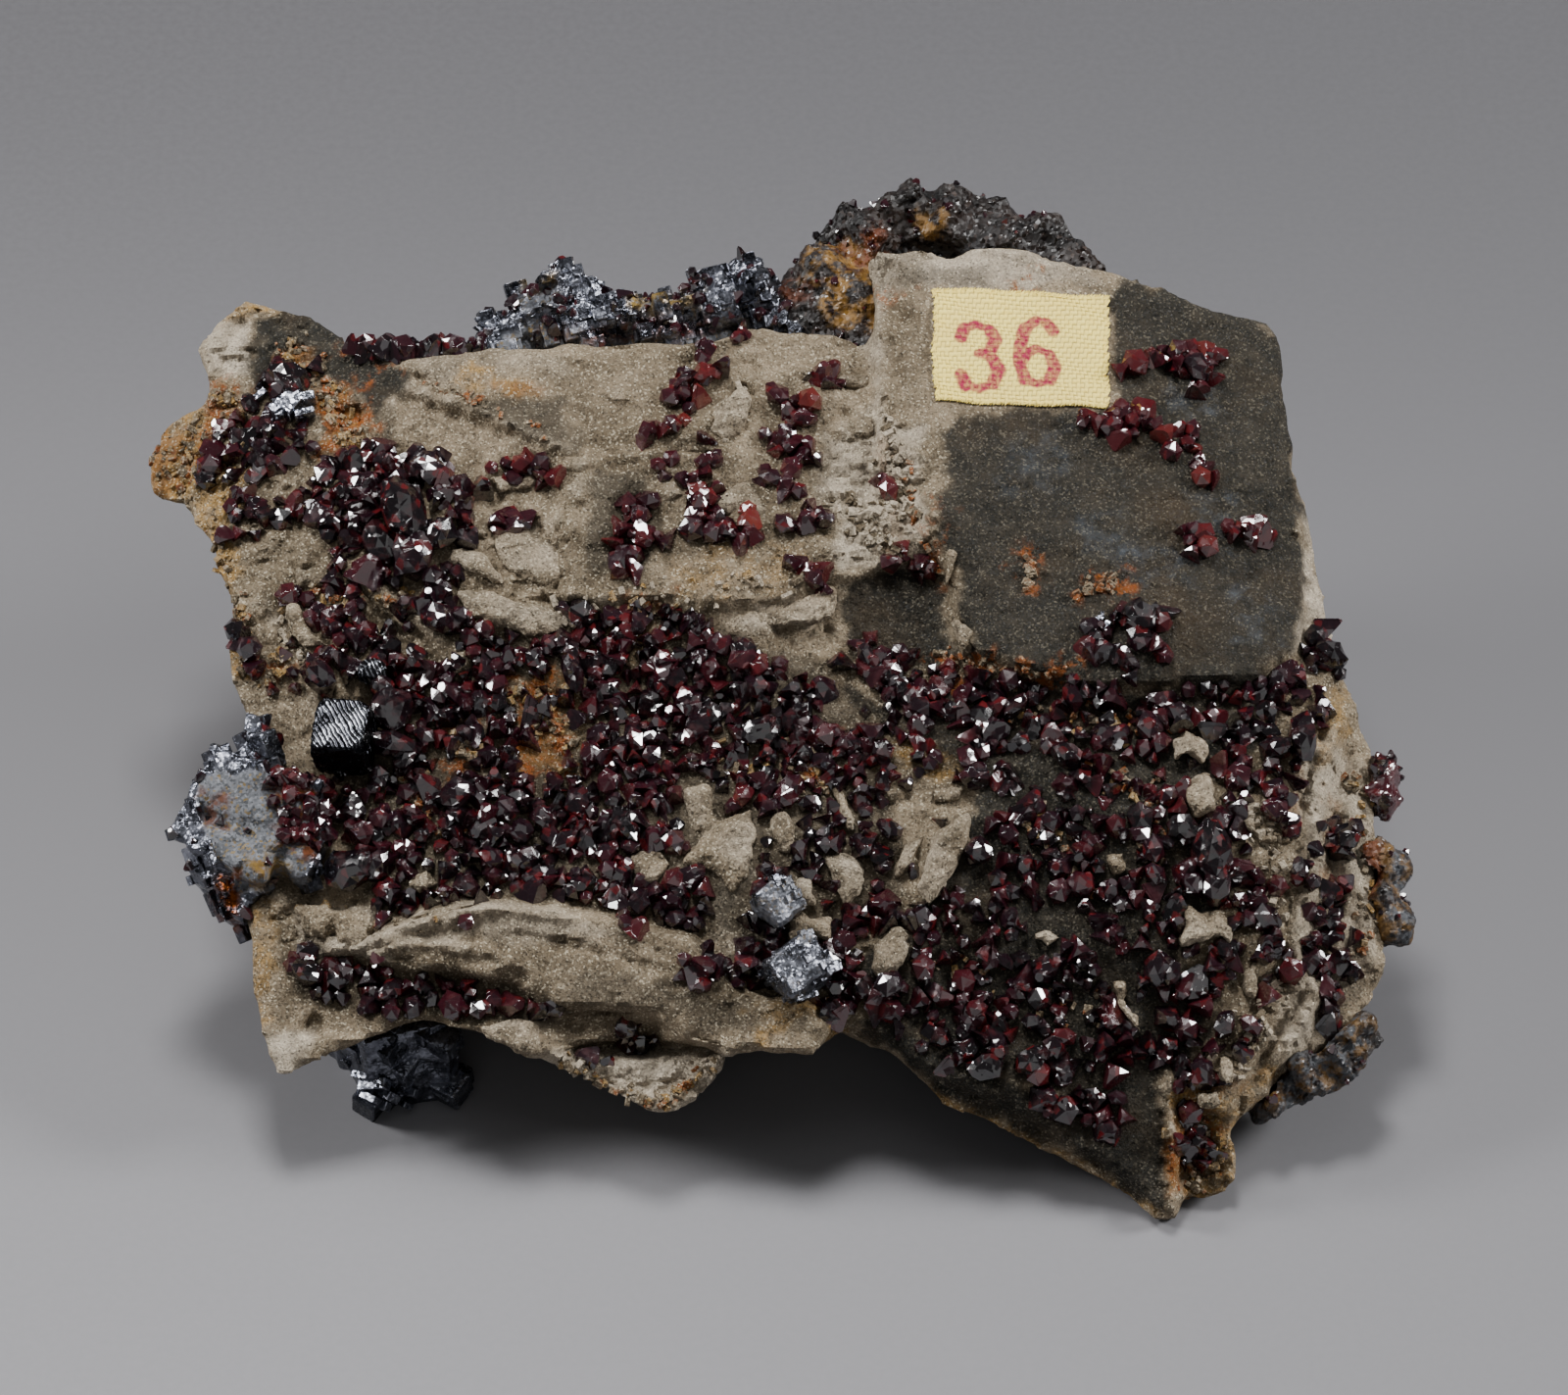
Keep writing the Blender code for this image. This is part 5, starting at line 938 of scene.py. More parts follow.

# Glassy sphalerite glows dark red where it is thin and is nearly black where it is thick; here each
# crystal has its own tone, and scattered shards are painted bright red, a painted glint of the light
# inside it. Its faces are glassy to resinous and a little broken, in shards of 0.8 mm, and it refracts
# far more than glass.
SPHALERITE_TONES = [
    (0.0, "#0d080b"), (0.4, "#1c0a12"), (0.7, "#300e16"), (0.9, "#471519"), (1.0, "#65261e"),
]
glassy = new_material("sphalerite")
coords = add_node(glassy, "TexCoord")
tone = add_node(glassy, "Attribute", attribute_name="tone")
depths = add_node(glassy, "ValToRGB", {"Fac": (tone, "Fac")})
ramp = depths.color_ramp
while len(ramp.elements) < len(SPHALERITE_TONES):
    ramp.elements.new(0.5)
for element, (place, code) in zip(ramp.elements, SPHALERITE_TONES):
    element.position = place
    element.color = linear(code)
wisps = add_node(glassy, "TexNoise", {"Vector": (coords, "Object"), "Scale": 900.0, "Detail": 3.0})
wispy = add_node(glassy, "MapRange", {"Value": (wisps, 0), "From Min": 0.5, "From Max": 0.75,
                                      "To Min": 0.0, "To Max": 0.4})
body = add_node(glassy, "Mix", {SHARE: (wispy, 0), FIRST: (depths, "Color"), SECOND: linear("#4e181c")},
                data_type="RGBA")
shards = add_node(glassy, "TexVoronoi", {"Vector": (coords, "Object"), "Scale": 1250.0})
shard_level = add_node(glassy, "SeparateColor", {"Color": (shards, "Color")})
painted_red_glints = add_node(glassy, "MapRange", {"Value": (shard_level, "Red"), "From Min": 0.9, "From Max": 0.94,
                                      "To Max": 0.6})
body = add_node(glassy, "Mix", {SHARE: (painted_red_glints, 0), FIRST: (body, MIXED), SECOND: linear("#5e1518")},
                data_type="RGBA")
relief = add_node(glassy, "Bump", {"Height": (tilted_cells(glassy, coords, shards), "Value"),
                                   "Strength": 0.32, "Distance": 0.6})
gloss = add_node(glassy, "MapRange", {"Value": (wisps, 0), "From Min": 0.3, "From Max": 0.7,
                                      "To Min": 0.05, "To Max": 0.2})
shader = add_node(glassy, "BsdfPrincipled", {"Base Color": (body, MIXED), "Roughness": (gloss, 0),
                                             "Normal": (relief, 0), "IOR": 2.05})
add_node(glassy, "OutputMaterial", {"Surface": (shader, "BSDF")})
sphalerite.data.materials.append(glassy)
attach(sphalerite, "root")
CLUSTER_LETTERS = "abcdefghijklm"
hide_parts("sphalerite_crust", "sphalerite_group_left", "sphalerite_group_valley",
            "sphalerite_group_pit", *["sphalerite_cluster_" + letter for letter in CLUSTER_LETTERS])
big_crystals.data.materials.append(glassy)
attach(big_crystals, "root")

# Galena: masses of lead sulphide, at the left edge, along the back, in the crust and under the front
# corner. They broke along three flat cleavages at right angles. Each solid is roughened, then overgrown
# with cubes that share one turn, as the steps of one cleaved crystal do.
CLEAVAGE = Matrix.Rotation(0.5, 4, "Z") @ Matrix.Rotation(0.75, 4, "X") @ Matrix.Rotation(0.3, 4, "Y")
RIDGE_TURN = Matrix.Rotation(0.35, 4, "Z") @ Matrix.Rotation(0.6, 4, "X")
FOOT_TURN = Matrix.Rotation(0.22, 4, "X") @ Matrix.Rotation(-0.07, 4, "Y") @ Matrix.Rotation(-0.6, 4, "Z")
# A node, its piece, the turn of its cubes, its grit and lumps, then its cubes' count, sizes and shine.
GALENA_MASSES = [
    ("galena_left", "galena_left_mass", CLEAVAGE, 0.15, 0.4, 110, (0.7, 2.6), 0.8),
    ("galena_back_ridge", "galena_ridge", RIDGE_TURN, 0.35, 0.9, 190, (0.6, 2.2), 0.8),
    ("galena_foot", "galena_corner_foot", FOOT_TURN, 0.05, 0.25, 46, (0.9, 4.2), 0.8),
    ("galena_chip_back", "galena_chip_upper", CLEAVAGE, 0.2, 0.3, 22, (0.5, 1.1), 0.25),
    ("galena_chip_front", "galena_chip_lower", CLEAVAGE, 0.2, 0.3, 34, (0.6, 1.5), 0.25),
]
GRITTY_FACE = [(-53.6, -7.6), (-44, -7), (-43, -13), (-44, -19), (-50, -20), (-52, -17), (-53.6, -12)]
SHOULDER = [(-47.8, -7.8), (-41, -7.4), (-41, -16.6), (-46.2, -15.6), (-46.4, -11.4)]
GALENA_COATS = {
    "coat": [
        (1.0, GRITTY_FACE),
        (0.8, [(-27, 36.6), (-24, 39.6), (-22, 39), (-18, 37.4), (-3, 38), (-3, 36), (-27, 36)]),
        (0.4, [(-3, -18), (3, -18), (3, -25), (-3, -25)]),
        (0.2, [(-2, -25), (6, -25), (6, -32), (-2, -32)]),
        (0.7, [(-14.5, 42), (-7.5, 42), (-8, 40.6), (-14, 40.4)]),
        (0.5, [(-24.6, 43), (-21, 44), (-21, 41), (-25, 40)]),
    ],
    "rust": [
        (0.8, [(-53.4, -9.6), (-50.8, -9.8), (-50.8, -13.6), (-53, -13)]),
        (1.0, [(-52.6, -17.4), (-49.6, -17.6), (-49.6, -24), (-53, -22)]),
        (1.0, [(-48.6, -16), (-46.4, -16), (-46.6, -19), (-48.4, -19)]),
        (1.0, [(-47.2, -8.6), (-42.6, -8.6), (-42.6, -16.6), (-46.2, -15.6)]),
        (1.0, [(-23, 37.4), (-20.6, 37.4), (-20.6, 40), (-22.6, 40)]),
        (0.8, [(-19, 37), (-7, 38), (-7, 39.6), (-19, 39)]),
    ],
    "ochre": [
        (1.0, [(-14.8, 42.6), (-7.5, 42.8), (-7.5, 40.2), (-15, 40.2)]),
        (0.8, [(-24.4, 44), (-21.4, 44.6), (-21.6, 42.6), (-24.4, 42)]),
        (0.8, [(-49.4, -16.4), (-46, -15), (-45, -19), (-48, -20)]),
    ],
}


def weathered(node, name, voxel, rounding, lumps, grit, swellings=()):
    """A copy of a CAD node as a rough mass: rounded, then pushed in and out by lumps and grit."""
    piece = copy_of(node, name)
    bm = bmesh.new()
    bm.from_mesh(piece.data)
    for x, s, height, radius in swellings:
        place = Matrix.Translation(face_point(x, s, height))
        bmesh.ops.create_icosphere(bm, subdivisions=2, radius=radius * MM, matrix=place)
    bm.to_mesh(piece.data)
    bm.free()
    apply_modifier(piece, "REMESH", mode="VOXEL", voxel_size=voxel * MM)
    apply_modifier(piece, "SMOOTH", factor=0.5, iterations=rounding)
    places, normals = vertex_places(piece.data)
    push = lumps * noise_at(places, 3.2, 7.0) + lumps * 0.9 * facets_at(places, 2.4, 3.0)
    push += grit * facets_at(places, 1.0, 8.0) + 0.4 * grit * noise_at(places, 0.6, 2.0)
    set_places(piece.data, places + push[:, None] * normals)
    return piece


def cube_shape(stretch):
    """The points and faces of a cube with narrow cut edges, a unit across."""
    bpy.ops.object.select_all(action="DESELECT")
    bpy.ops.mesh.primitive_cube_add(size=1.0)
    shape = bpy.context.object
    bpy.ops.object.mode_set(mode="EDIT")
    bpy.ops.mesh.select_all(action="SELECT")
    bpy.ops.mesh.bevel(offset=0.05, segments=1, affect="EDGES")
    bpy.ops.object.mode_set(mode="OBJECT")
    points = np.array([vertex.co for vertex in shape.data.vertices]) * np.array(stretch)
    faces = [list(polygon.vertices) for polygon in shape.data.polygons]
    bpy.data.objects.remove(shape)
    return points, faces


def stained(piece, plans_of, wander):
    """Writes a stain attribute for each set of plans of the face, their borders blurred by wander."""
    places, _ = vertex_places(piece.data)
    across, along, _ = face_places(places)
    blur = wander * (noise_at(places, 1.6, 6.0) + 0.6 * noise_at(places, 0.7, 2.0))
    for attribute, plans in plans_of.items():
        amount = np.zeros(len(places))
        for strength, plan in plans:
            depth = border_distance(plan, across, along) + blur
            amount = np.maximum(amount, strength * soft_step(depth, -0.5, 0.8))
        set_attribute(piece.data, attribute, amount)


# Cleaved galena is a lead-grey metal: it mirrors on a fresh cleavage and dulls where it is tarnished,
# in patches of 1.4 mm. Its coats are grey and gold crumbs, drawn 0.24 mm wide so that they show.
galena = new_material("cleaved galena")
coords = add_node(galena, "TexCoord")
tarnish = add_node(galena, "TexNoise", {"Vector": (coords, "Object"), "Scale": 700.0, "Detail": 5.0,
                                        "Roughness": 0.65})
worn = add_node(galena, "MapRange", {"Value": (tarnish, 0), "From Min": 0.35, "From Max": 0.65})
dark_metal = add_node(galena, "Mix", {SHARE: (worn, 0), FIRST: linear("#2c2d33"),
                                      SECOND: linear("#54565f")}, data_type="RGBA")
light_metal = add_node(galena, "Mix", {SHARE: (worn, 0), FIRST: linear("#70737e"),
                                       SECOND: linear("#b4b7c2")}, data_type="RGBA")
tone = add_node(galena, "Attribute", attribute_name="tone")
metal = add_node(galena, "Mix", {SHARE: (tone, "Fac"), FIRST: (dark_metal, MIXED),
                                 SECOND: (light_metal, MIXED)}, data_type="RGBA")
dust = add_node(galena, "TexVoronoi", {"Vector": (coords, "Object"), "Scale": 4200.0})
dust_level = add_node(galena, "SeparateColor", {"Color": (dust, "Color")})
crumbs = add_node(galena, "Mix", {SHARE: (dust_level, "Red"), FIRST: linear("#494b4e"),
                                  SECOND: linear("#7c7e83")}, data_type="RGBA")
gold = add_node(galena, "MapRange", {"Value": (dust_level, "Green"), "From Min": 0.84, "From Max": 0.92,
                                     "To Max": 0.7})
crumbs = add_node(galena, "Mix", {SHARE: (gold, 0), FIRST: (crumbs, MIXED), SECOND: linear("#8a7345")},
                  data_type="RGBA")
coat = add_node(galena, "Attribute", attribute_name="coat")
coated = add_node(galena, "MapRange", {"Value": (coat, "Fac"), "From Min": 0.1, "From Max": 0.8})
skin = add_node(galena, "Mix", {SHARE: (coated, 0), FIRST: (metal, MIXED), SECOND: (crumbs, MIXED)},
                data_type="RGBA")
for stain, code in [("rust", "#5e3013"), ("ochre", "#7b6430")]:
    amount = add_node(galena, "Attribute", attribute_name=stain)
    patchy = add_node(galena, "MapRange", {"Value": (tarnish, 0), "From Min": 0.42, "From Max": 0.55})
    share = add_node(galena, "Math", {0: (amount, "Fac"), 1: (patchy, 0)}, operation="MULTIPLY")
    skin = add_node(galena, "Mix", {SHARE: (share, 0), FIRST: (skin, MIXED), SECOND: linear(code)},
                    data_type="RGBA")
bare = add_node(galena, "MapRange", {"Value": (coated, 0), "To Min": 1.0, "To Max": 0.15})
dull = add_node(galena, "MapRange", {"Value": (tarnish, 0), "From Min": 0.3, "From Max": 0.7,
                                     "To Min": 0.14, "To Max": 0.42})
dull = add_node(galena, "Math", {0: (dull, 0), 1: (coated, 0)}, operation="MAXIMUM")
relief = add_node(galena, "Bump", {"Height": (tilted_cells(galena, coords, dust), "Value"),
                                   "Strength": 0.5, "Distance": 0.8})
relief = add_node(galena, "Bump", {"Height": (tarnish, 0), "Strength": 0.2, "Distance": 0.0005,
                                   "Normal": (relief, 0)})
shader = add_node(galena, "BsdfPrincipled", {"Base Color": (skin, MIXED), "Metallic": (bare, 0),
                                             "Roughness": (dull, 0), "Normal": (relief, 0)})
add_node(galena, "OutputMaterial", {"Surface": (shader, "BSDF")})

CUBE_SHAPES = [cube_shape((1.0, 1.0, 1.0)), cube_shape((1.3, 0.9, 0.7)), cube_shape((0.8, 1.2, 0.9))]
CUBE_SINK = 0.26
for node, name, turn, grit, lumps, count, (small, large), shine in GALENA_MASSES:
    piece = weathered(node, name, 0.4, 4, lumps, grit)
    set_attribute(piece.data, "tone", np.full(len(piece.data.vertices), 0.35))
    open_faces = [polygon for polygon in piece.data.polygons if polygon.normal.z > -0.3]
    growths = []
    for polygon in rng.sample(open_faces, count):
        size = small + (large - small) * rng.random() ** 2.2
        x, s, _ = face_places(np.array([polygon.center]) / MM)
        if max(border_distance(plan, x, s)[0] for plan in (GRITTY_FACE, SHOULDER)) > 0.5:
            continue
        play = Matrix.Rotation(rng.uniform(-0.12, 0.12), 3, "X")
        play = play @ Matrix.Rotation(rng.uniform(-0.12, 0.12), 3, "Y")
        place = polygon.center - polygon.normal * size * CUBE_SINK * MM
        growths.append((place, turn.to_3x3() @ play, size, shine * rng.random() ** 1.5))
    cubes = joined_crystals(name + "_cubes", growths, CUBE_SHAPES)
    pick(piece)
    cubes.select_set(True)
    bpy.ops.object.join()
    stained(piece, GALENA_COATS, 0.9)
    piece.data.materials.clear()
    piece.data.materials.append(galena)
    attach(piece, "root")
    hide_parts(node)

# The one large galena crystal, which grew in the crust: a cube of 5 mm with cut corners, nearly black,
# with a small rounded crystal beside it. Its upper faces are lined with growth steps, painted bright only
# where they face the light: a painted highlight.
CRYSTAL_MIDDLE = Vector((-40.4, -2.6, 26.4))
CRYSTAL_SIZE = (5.0, 5.4, 5.0)
CRYSTAL_TURN = 0.42
FACE_TO_LIGHT = Vector((-0.14, -0.22, 0.965))
BALL_PLACE, BALL_RADIUS = (-38.0, 2.6), 1.4
crystal = copy_of("galena_crystal", "galena_cube")
bm = bmesh.new()
bmesh.ops.create_cube(bm, size=1.0)
bmesh.ops.bevel(bm, geom=bm.verts[:], offset=0.2, affect="VERTICES", segments=1, profile=0.5)
turn = FACE_TO_LIGHT.to_track_quat("Z", "Y").to_matrix().to_4x4() @ Matrix.Rotation(CRYSTAL_TURN, 4, "Z")
stretch = Matrix.Diagonal([side * MM for side in CRYSTAL_SIZE] + [1])
bm.transform(Matrix.Translation(CRYSTAL_MIDDLE * MM) @ turn @ stretch)
ball_foot, _ = ground(*BALL_PLACE)
ball_place = Matrix.Translation(ball_foot + RAISE * BALL_RADIUS * MM)
bmesh.ops.create_icosphere(bm, subdivisions=2, radius=BALL_RADIUS * MM, matrix=ball_place)
bm.to_mesh(crystal.data)
bm.free()
apply_modifier(crystal, "BEVEL", width=0.25 * MM, segments=2, limit_method="ANGLE",
               angle_limit=math.radians(50))
apply_modifier(crystal, "SUBSURF", subdivision_type="SIMPLE", levels=4, render_levels=4)
places, normals = vertex_places(crystal.data)
lit = soft_step(normals @ np.array(FACE_TO_LIGHT), 0.55, 0.97)
bumps = 0.3 * facets_at(places, 1.2, 5.0) + 0.12 * noise_at(places, 0.8, 4.0)
set_places(crystal.data, places + (bumps * (1 - 0.85 * lit))[:, None] * normals)
# Painted highlight: the lines and the small crystal are painted bright where they face the light.
lined = lit * np.clip(0.45 + 1.7 * noise_at(places, 1.5, 9.0), 0.05, 1.0)
on_ball = np.linalg.norm(places - np.array(ball_foot) / MM, axis=1) < 3.0
set_attribute(crystal.data, "lined", np.where(on_ball, 0.4 + 0.5 * lit, lined))

# Lined galena is nearly black metal with growth lines about 0.2 mm apart, coarser than real so that they
# show. The lines are painted bright where the faces are turned to the light: a painted highlight.
galena_painted_shine = new_material("lined galena")
coords = add_node(galena_painted_shine, "TexCoord")
turned = add_node(galena_painted_shine, "Mapping", {"Vector": (coords, "Object"), "Rotation": (0.0, 0.0, -0.49)})
lines = add_node(galena_painted_shine, "TexWave", {"Vector": (turned, 0), "Scale": 800.0, "Distortion": 5.0,
                                           "Detail": 3.0, "Detail Scale": 1.3})
line_share = add_node(galena_painted_shine, "MapRange", {"Value": (lines, "Fac"), "From Min": 0.6, "From Max": 1.0,
                                                 "To Min": 0.05, "To Max": 0.8})
lining = add_node(galena_painted_shine, "Attribute", attribute_name="lined")
share = add_node(galena_painted_shine, "Math", {0: (lining, "Fac"), 1: (line_share, 0)}, operation="MULTIPLY")
metal = add_node(galena_painted_shine, "Mix", {SHARE: (share, 0), FIRST: linear("#15161a"),
                                       SECOND: linear("#a9acb4")}, data_type="RGBA")
dull = add_node(galena_painted_shine, "MapRange", {"Value": (share, 0), "To Min": 0.14, "To Max": 0.34})
relief = add_node(galena_painted_shine, "Bump", {"Height": (lines, "Fac"), "Strength": 0.25, "Distance": 0.0003})
shader = add_node(galena_painted_shine, "BsdfPrincipled", {"Base Color": (metal, MIXED), "Metallic": 0.9,
                                                   "Roughness": (dull, 0), "Normal": (relief, 0)})
add_node(galena_painted_shine, "OutputMaterial", {"Surface": (shader, "BSDF")})
crystal.data.materials.append(galena_painted_shine)
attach(crystal, "root")
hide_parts("galena_crystal")

# The dark mass behind the upper plate and the knobs and the crust of the right edge: broken sphalerite
# and pyrite, grown on the rock with it. They are rough and nearly black, with ochre and rust in their
# hollows, and the pyrite's are gritty and grey.
BACK_SWELLINGS = [
    (2.0, 42.0, -4.5, 3.0), (4.5, 40.0, -4.5, 3.2), (6.5, 38.0, -4.5, 3.0), (8.0, 36.6, -5.0, 3.0),
    (7.0, 41.5, -3.5, 3.2), (4.0, 44.5, -3.5, 3.0), (8.5, 39.5, -4.0, 2.6), (1.5, 39.8, -5.0, 2.4),
]
# A node, its piece, its voxel, rounding, lumps and grit, its slot and its swellings.
ORE_PIECES = [
    ("sphalerite_back_mass", "back_mass", 0.40, 8, 0.5, 0.3, "sphalerite", BACK_SWELLINGS),
    ("sphalerite_knob_right", "knob_dark", 0.30, 3, 0.3, 0.2, "sphalerite", []),
    ("pyrite_galena_knob_right", "knobs_pyrite", 0.30, 3, 0.35, 0.3, "pyrite_galena", []),
    ("galena_pyrite_crust_right", "crust_pyrite", 0.35, 4, 0.5, 0.4, "pyrite_galena", []),
]
ORE_STAINS = {
    "ochre": [
        (1.0, [(2, 48), (6.5, 48), (9.6, 46), (9.6, 38), (4, 38.6), (2, 44)]),
        (0.8, [(12, 51.4), (15, 51.4), (15, 48), (12, 48)]),
        (0.6, [(52, -14), (58, -14), (58, -26), (52, -26)]),
        (0.45, [(42, -32), (54, -32), (54, -43), (42, -43)]),
    ],
    "rust": [
        (1.0, [(5, 48), (10, 50), (10, 46), (6, 45)]),
        (0.8, [(52.4, -14), (55.4, -14), (55.4, -21), (52.4, -21)]),
        (0.7, [(-0.6, 44), (3, 44), (3, 41), (-0.6, 41)]),
    ],
    "grey": [
        (1.0, [(42, -32), (54, -32), (54, -43), (42, -43)]),
        (1.0, [(55.6, -15), (60, -15), (60, -27), (55, -27)]),
    ],
}

# Broken ore is dark and uneven: dull in its hollows, with small bright faces of 0.4 mm, some glossy and
# some painted light as painted glints. A stain's look is its colour and the scale at which its edge
# breaks up.
ORE_STAIN_LOOKS = [("ochre", "#7c5a26", 500.0), ("rust", "#5c2a0c", 420.0), ("grey", "#3e4044", 700.0)]
rough_ore = new_material("broken sphalerite and pyrite")
coords = add_node(rough_ore, "TexCoord")
cloud = add_node(rough_ore, "TexNoise", {"Vector": (coords, "Object"), "Scale": 260.0, "Detail": 6.0,
                                         "Roughness": 0.68})
clouded = add_node(rough_ore, "MapRange", {"Value": (cloud, 0), "From Min": 0.4, "From Max": 0.62})
grains = add_node(rough_ore, "TexVoronoi", {"Vector": (coords, "Object"), "Scale": 2600.0})
grain_level = add_node(rough_ore, "SeparateColor", {"Color": (grains, "Color")})
# Painted glints: some grains are painted light.
painted_glints = add_node(rough_ore, "MapRange", {"Value": (grain_level, "Red"), "From Min": 0.88, "From Max": 1.0,
                                          "To Min": 0.0, "To Max": 0.4})
ore = add_node(rough_ore, "Mix", {SHARE: (clouded, 0), FIRST: linear("#0c0909"),
                                  SECOND: linear("#231813")}, data_type="RGBA")
ore = add_node(rough_ore, "Mix", {SHARE: (painted_glints, 0), FIRST: (ore, MIXED), SECOND: linear("#5d4f49")},
               data_type="RGBA")
for stain, code, scale in ORE_STAIN_LOOKS:
    amount = add_node(rough_ore, "Attribute", attribute_name=stain)
    broken = add_node(rough_ore, "TexNoise", {"Vector": (coords, "Object"), "Scale": scale, "Detail": 5.0,
                                              "Roughness": 0.65})
    patchy = add_node(rough_ore, "MapRange", {"Value": (broken, 0), "From Min": 0.44, "From Max": 0.56})
    share = add_node(rough_ore, "Math", {0: (amount, "Fac"), 1: (patchy, 0)}, operation="MULTIPLY")
    ore = add_node(rough_ore, "Mix", {SHARE: (share, 0), FIRST: (ore, MIXED), SECOND: linear(code)},
                   data_type="RGBA")
relief = add_node(rough_ore, "Bump", {"Height": (tilted_cells(rough_ore, coords, grains), "Value"),
                                      "Strength": 0.9, "Distance": 1.0})
dull = add_node(rough_ore, "MapRange", {"Value": (grain_level, "Blue"), "To Min": 0.75, "To Max": 0.22})
shader = add_node(rough_ore, "BsdfPrincipled", {"Base Color": (ore, MIXED), "Roughness": (dull, 0),
                                                "Normal": (relief, 0), "IOR": 1.5})
add_node(rough_ore, "OutputMaterial", {"Surface": (shader, "BSDF")})

for node, name, voxel, rounding, lumps, grit, slot, swellings in ORE_PIECES:
    piece = weathered(node, name, voxel, rounding, lumps, grit, swellings)
    stained(piece, ORE_STAINS, 1.2)
    set_attribute(piece.data, "tone", np.full(len(piece.data.vertices), 0.75))
    piece.data.materials.append(glassy if name == "knob_dark" else rough_ore)
    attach(piece, "root")
    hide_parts(node)

# Small crystals of the same sphalerite that grew on those masses and behind the plateau. They are
# planted in a row behind the plateau's back edge, and on each mass where it faces up, by the mass's
# name, a count and the least and greatest size.
BACK_ROW = (Vector((-40.4, 36.6)), Vector((-28.4, 36.6)))
BACK_ROW_COUNT = 26
ON_MASSES = [
    ("back_mass", 80, 0.5, 1.1), ("galena_ridge", 110, 0.8, 1.7), ("knob_dark", 12, 0.8, 1.4),
    ("crust_pyrite", 20, 0.6, 1.1), ("galena_left_mass", 44, 0.8, 1.6), ("knobs_pyrite", 14, 0.6, 1.1),
]
SHOULDER_COUNT = 70
SKIN_AREA = 3e-7  # in square metres: a mass's own skin has smaller faces than the cubes on it
back_plants = []
for i in range(BACK_ROW_COUNT):
    place = BACK_ROW[0].lerp(BACK_ROW[1], i / (BACK_ROW_COUNT - 1))
    point = face_point(place.x + rng.uniform(-0.4, 0.4), place.y + rng.uniform(-0.9, 0.5), -1.2)
    turn = standing(leaning(Vector((0, 0.3, 1)), 0.4))
    back_plants.append((point, turn, rng.uniform(1.5, 2.9), rng.random() * 0.7))
back_row = joined_crystals("sphalerite_back_crystals", back_plants, CRYSTAL_SHAPES)
back_row.data.materials.append(glassy)
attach(back_row, "root")
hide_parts("sphalerite_back_row")


def planted(polygon, size):
    """The place and the turn of a crystal that stands on a polygon."""
    axis = leaning(polygon.normal, 0.5)
    return polygon.center + axis * size * 0.15 * MM, standing(axis)


mass_plants = []
for name, count, small, large in ON_MASSES:
    polygons = bpy.data.objects[name].data.polygons
    facing_up = [polygon for polygon in polygons if polygon.normal.z > 0.1 and polygon.area < SKIN_AREA]
    for polygon in rng.sample(facing_up, min(count, len(facing_up))):
        size = rng.uniform(small, large)
        mass_plants.append((*planted(polygon, size), size, 0.75 * rng.random()))
polygons = bpy.data.objects["galena_left_mass"].data.polygons
middle_x, middle_s, _ = face_places(np.array([polygon.center for polygon in polygons]) / MM)
on_shoulder = border_distance(SHOULDER, middle_x, middle_s) > 0
shoulder = [polygon for polygon, near in zip(polygons, on_shoulder) if near and polygon.normal.z > 0.2]
for polygon in rng.sample(shoulder, min(SHOULDER_COUNT, len(shoulder))):
    size = rng.uniform(1.0, 2.0)
    mass_plants.append((*planted(polygon, size), size, 0.4 + 0.5 * rng.random()))
on_masses = joined_crystals("sphalerite_on_masses", mass_plants, CRYSTAL_SHAPES)
on_masses.data.materials.append(glassy)
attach(on_masses, "root")

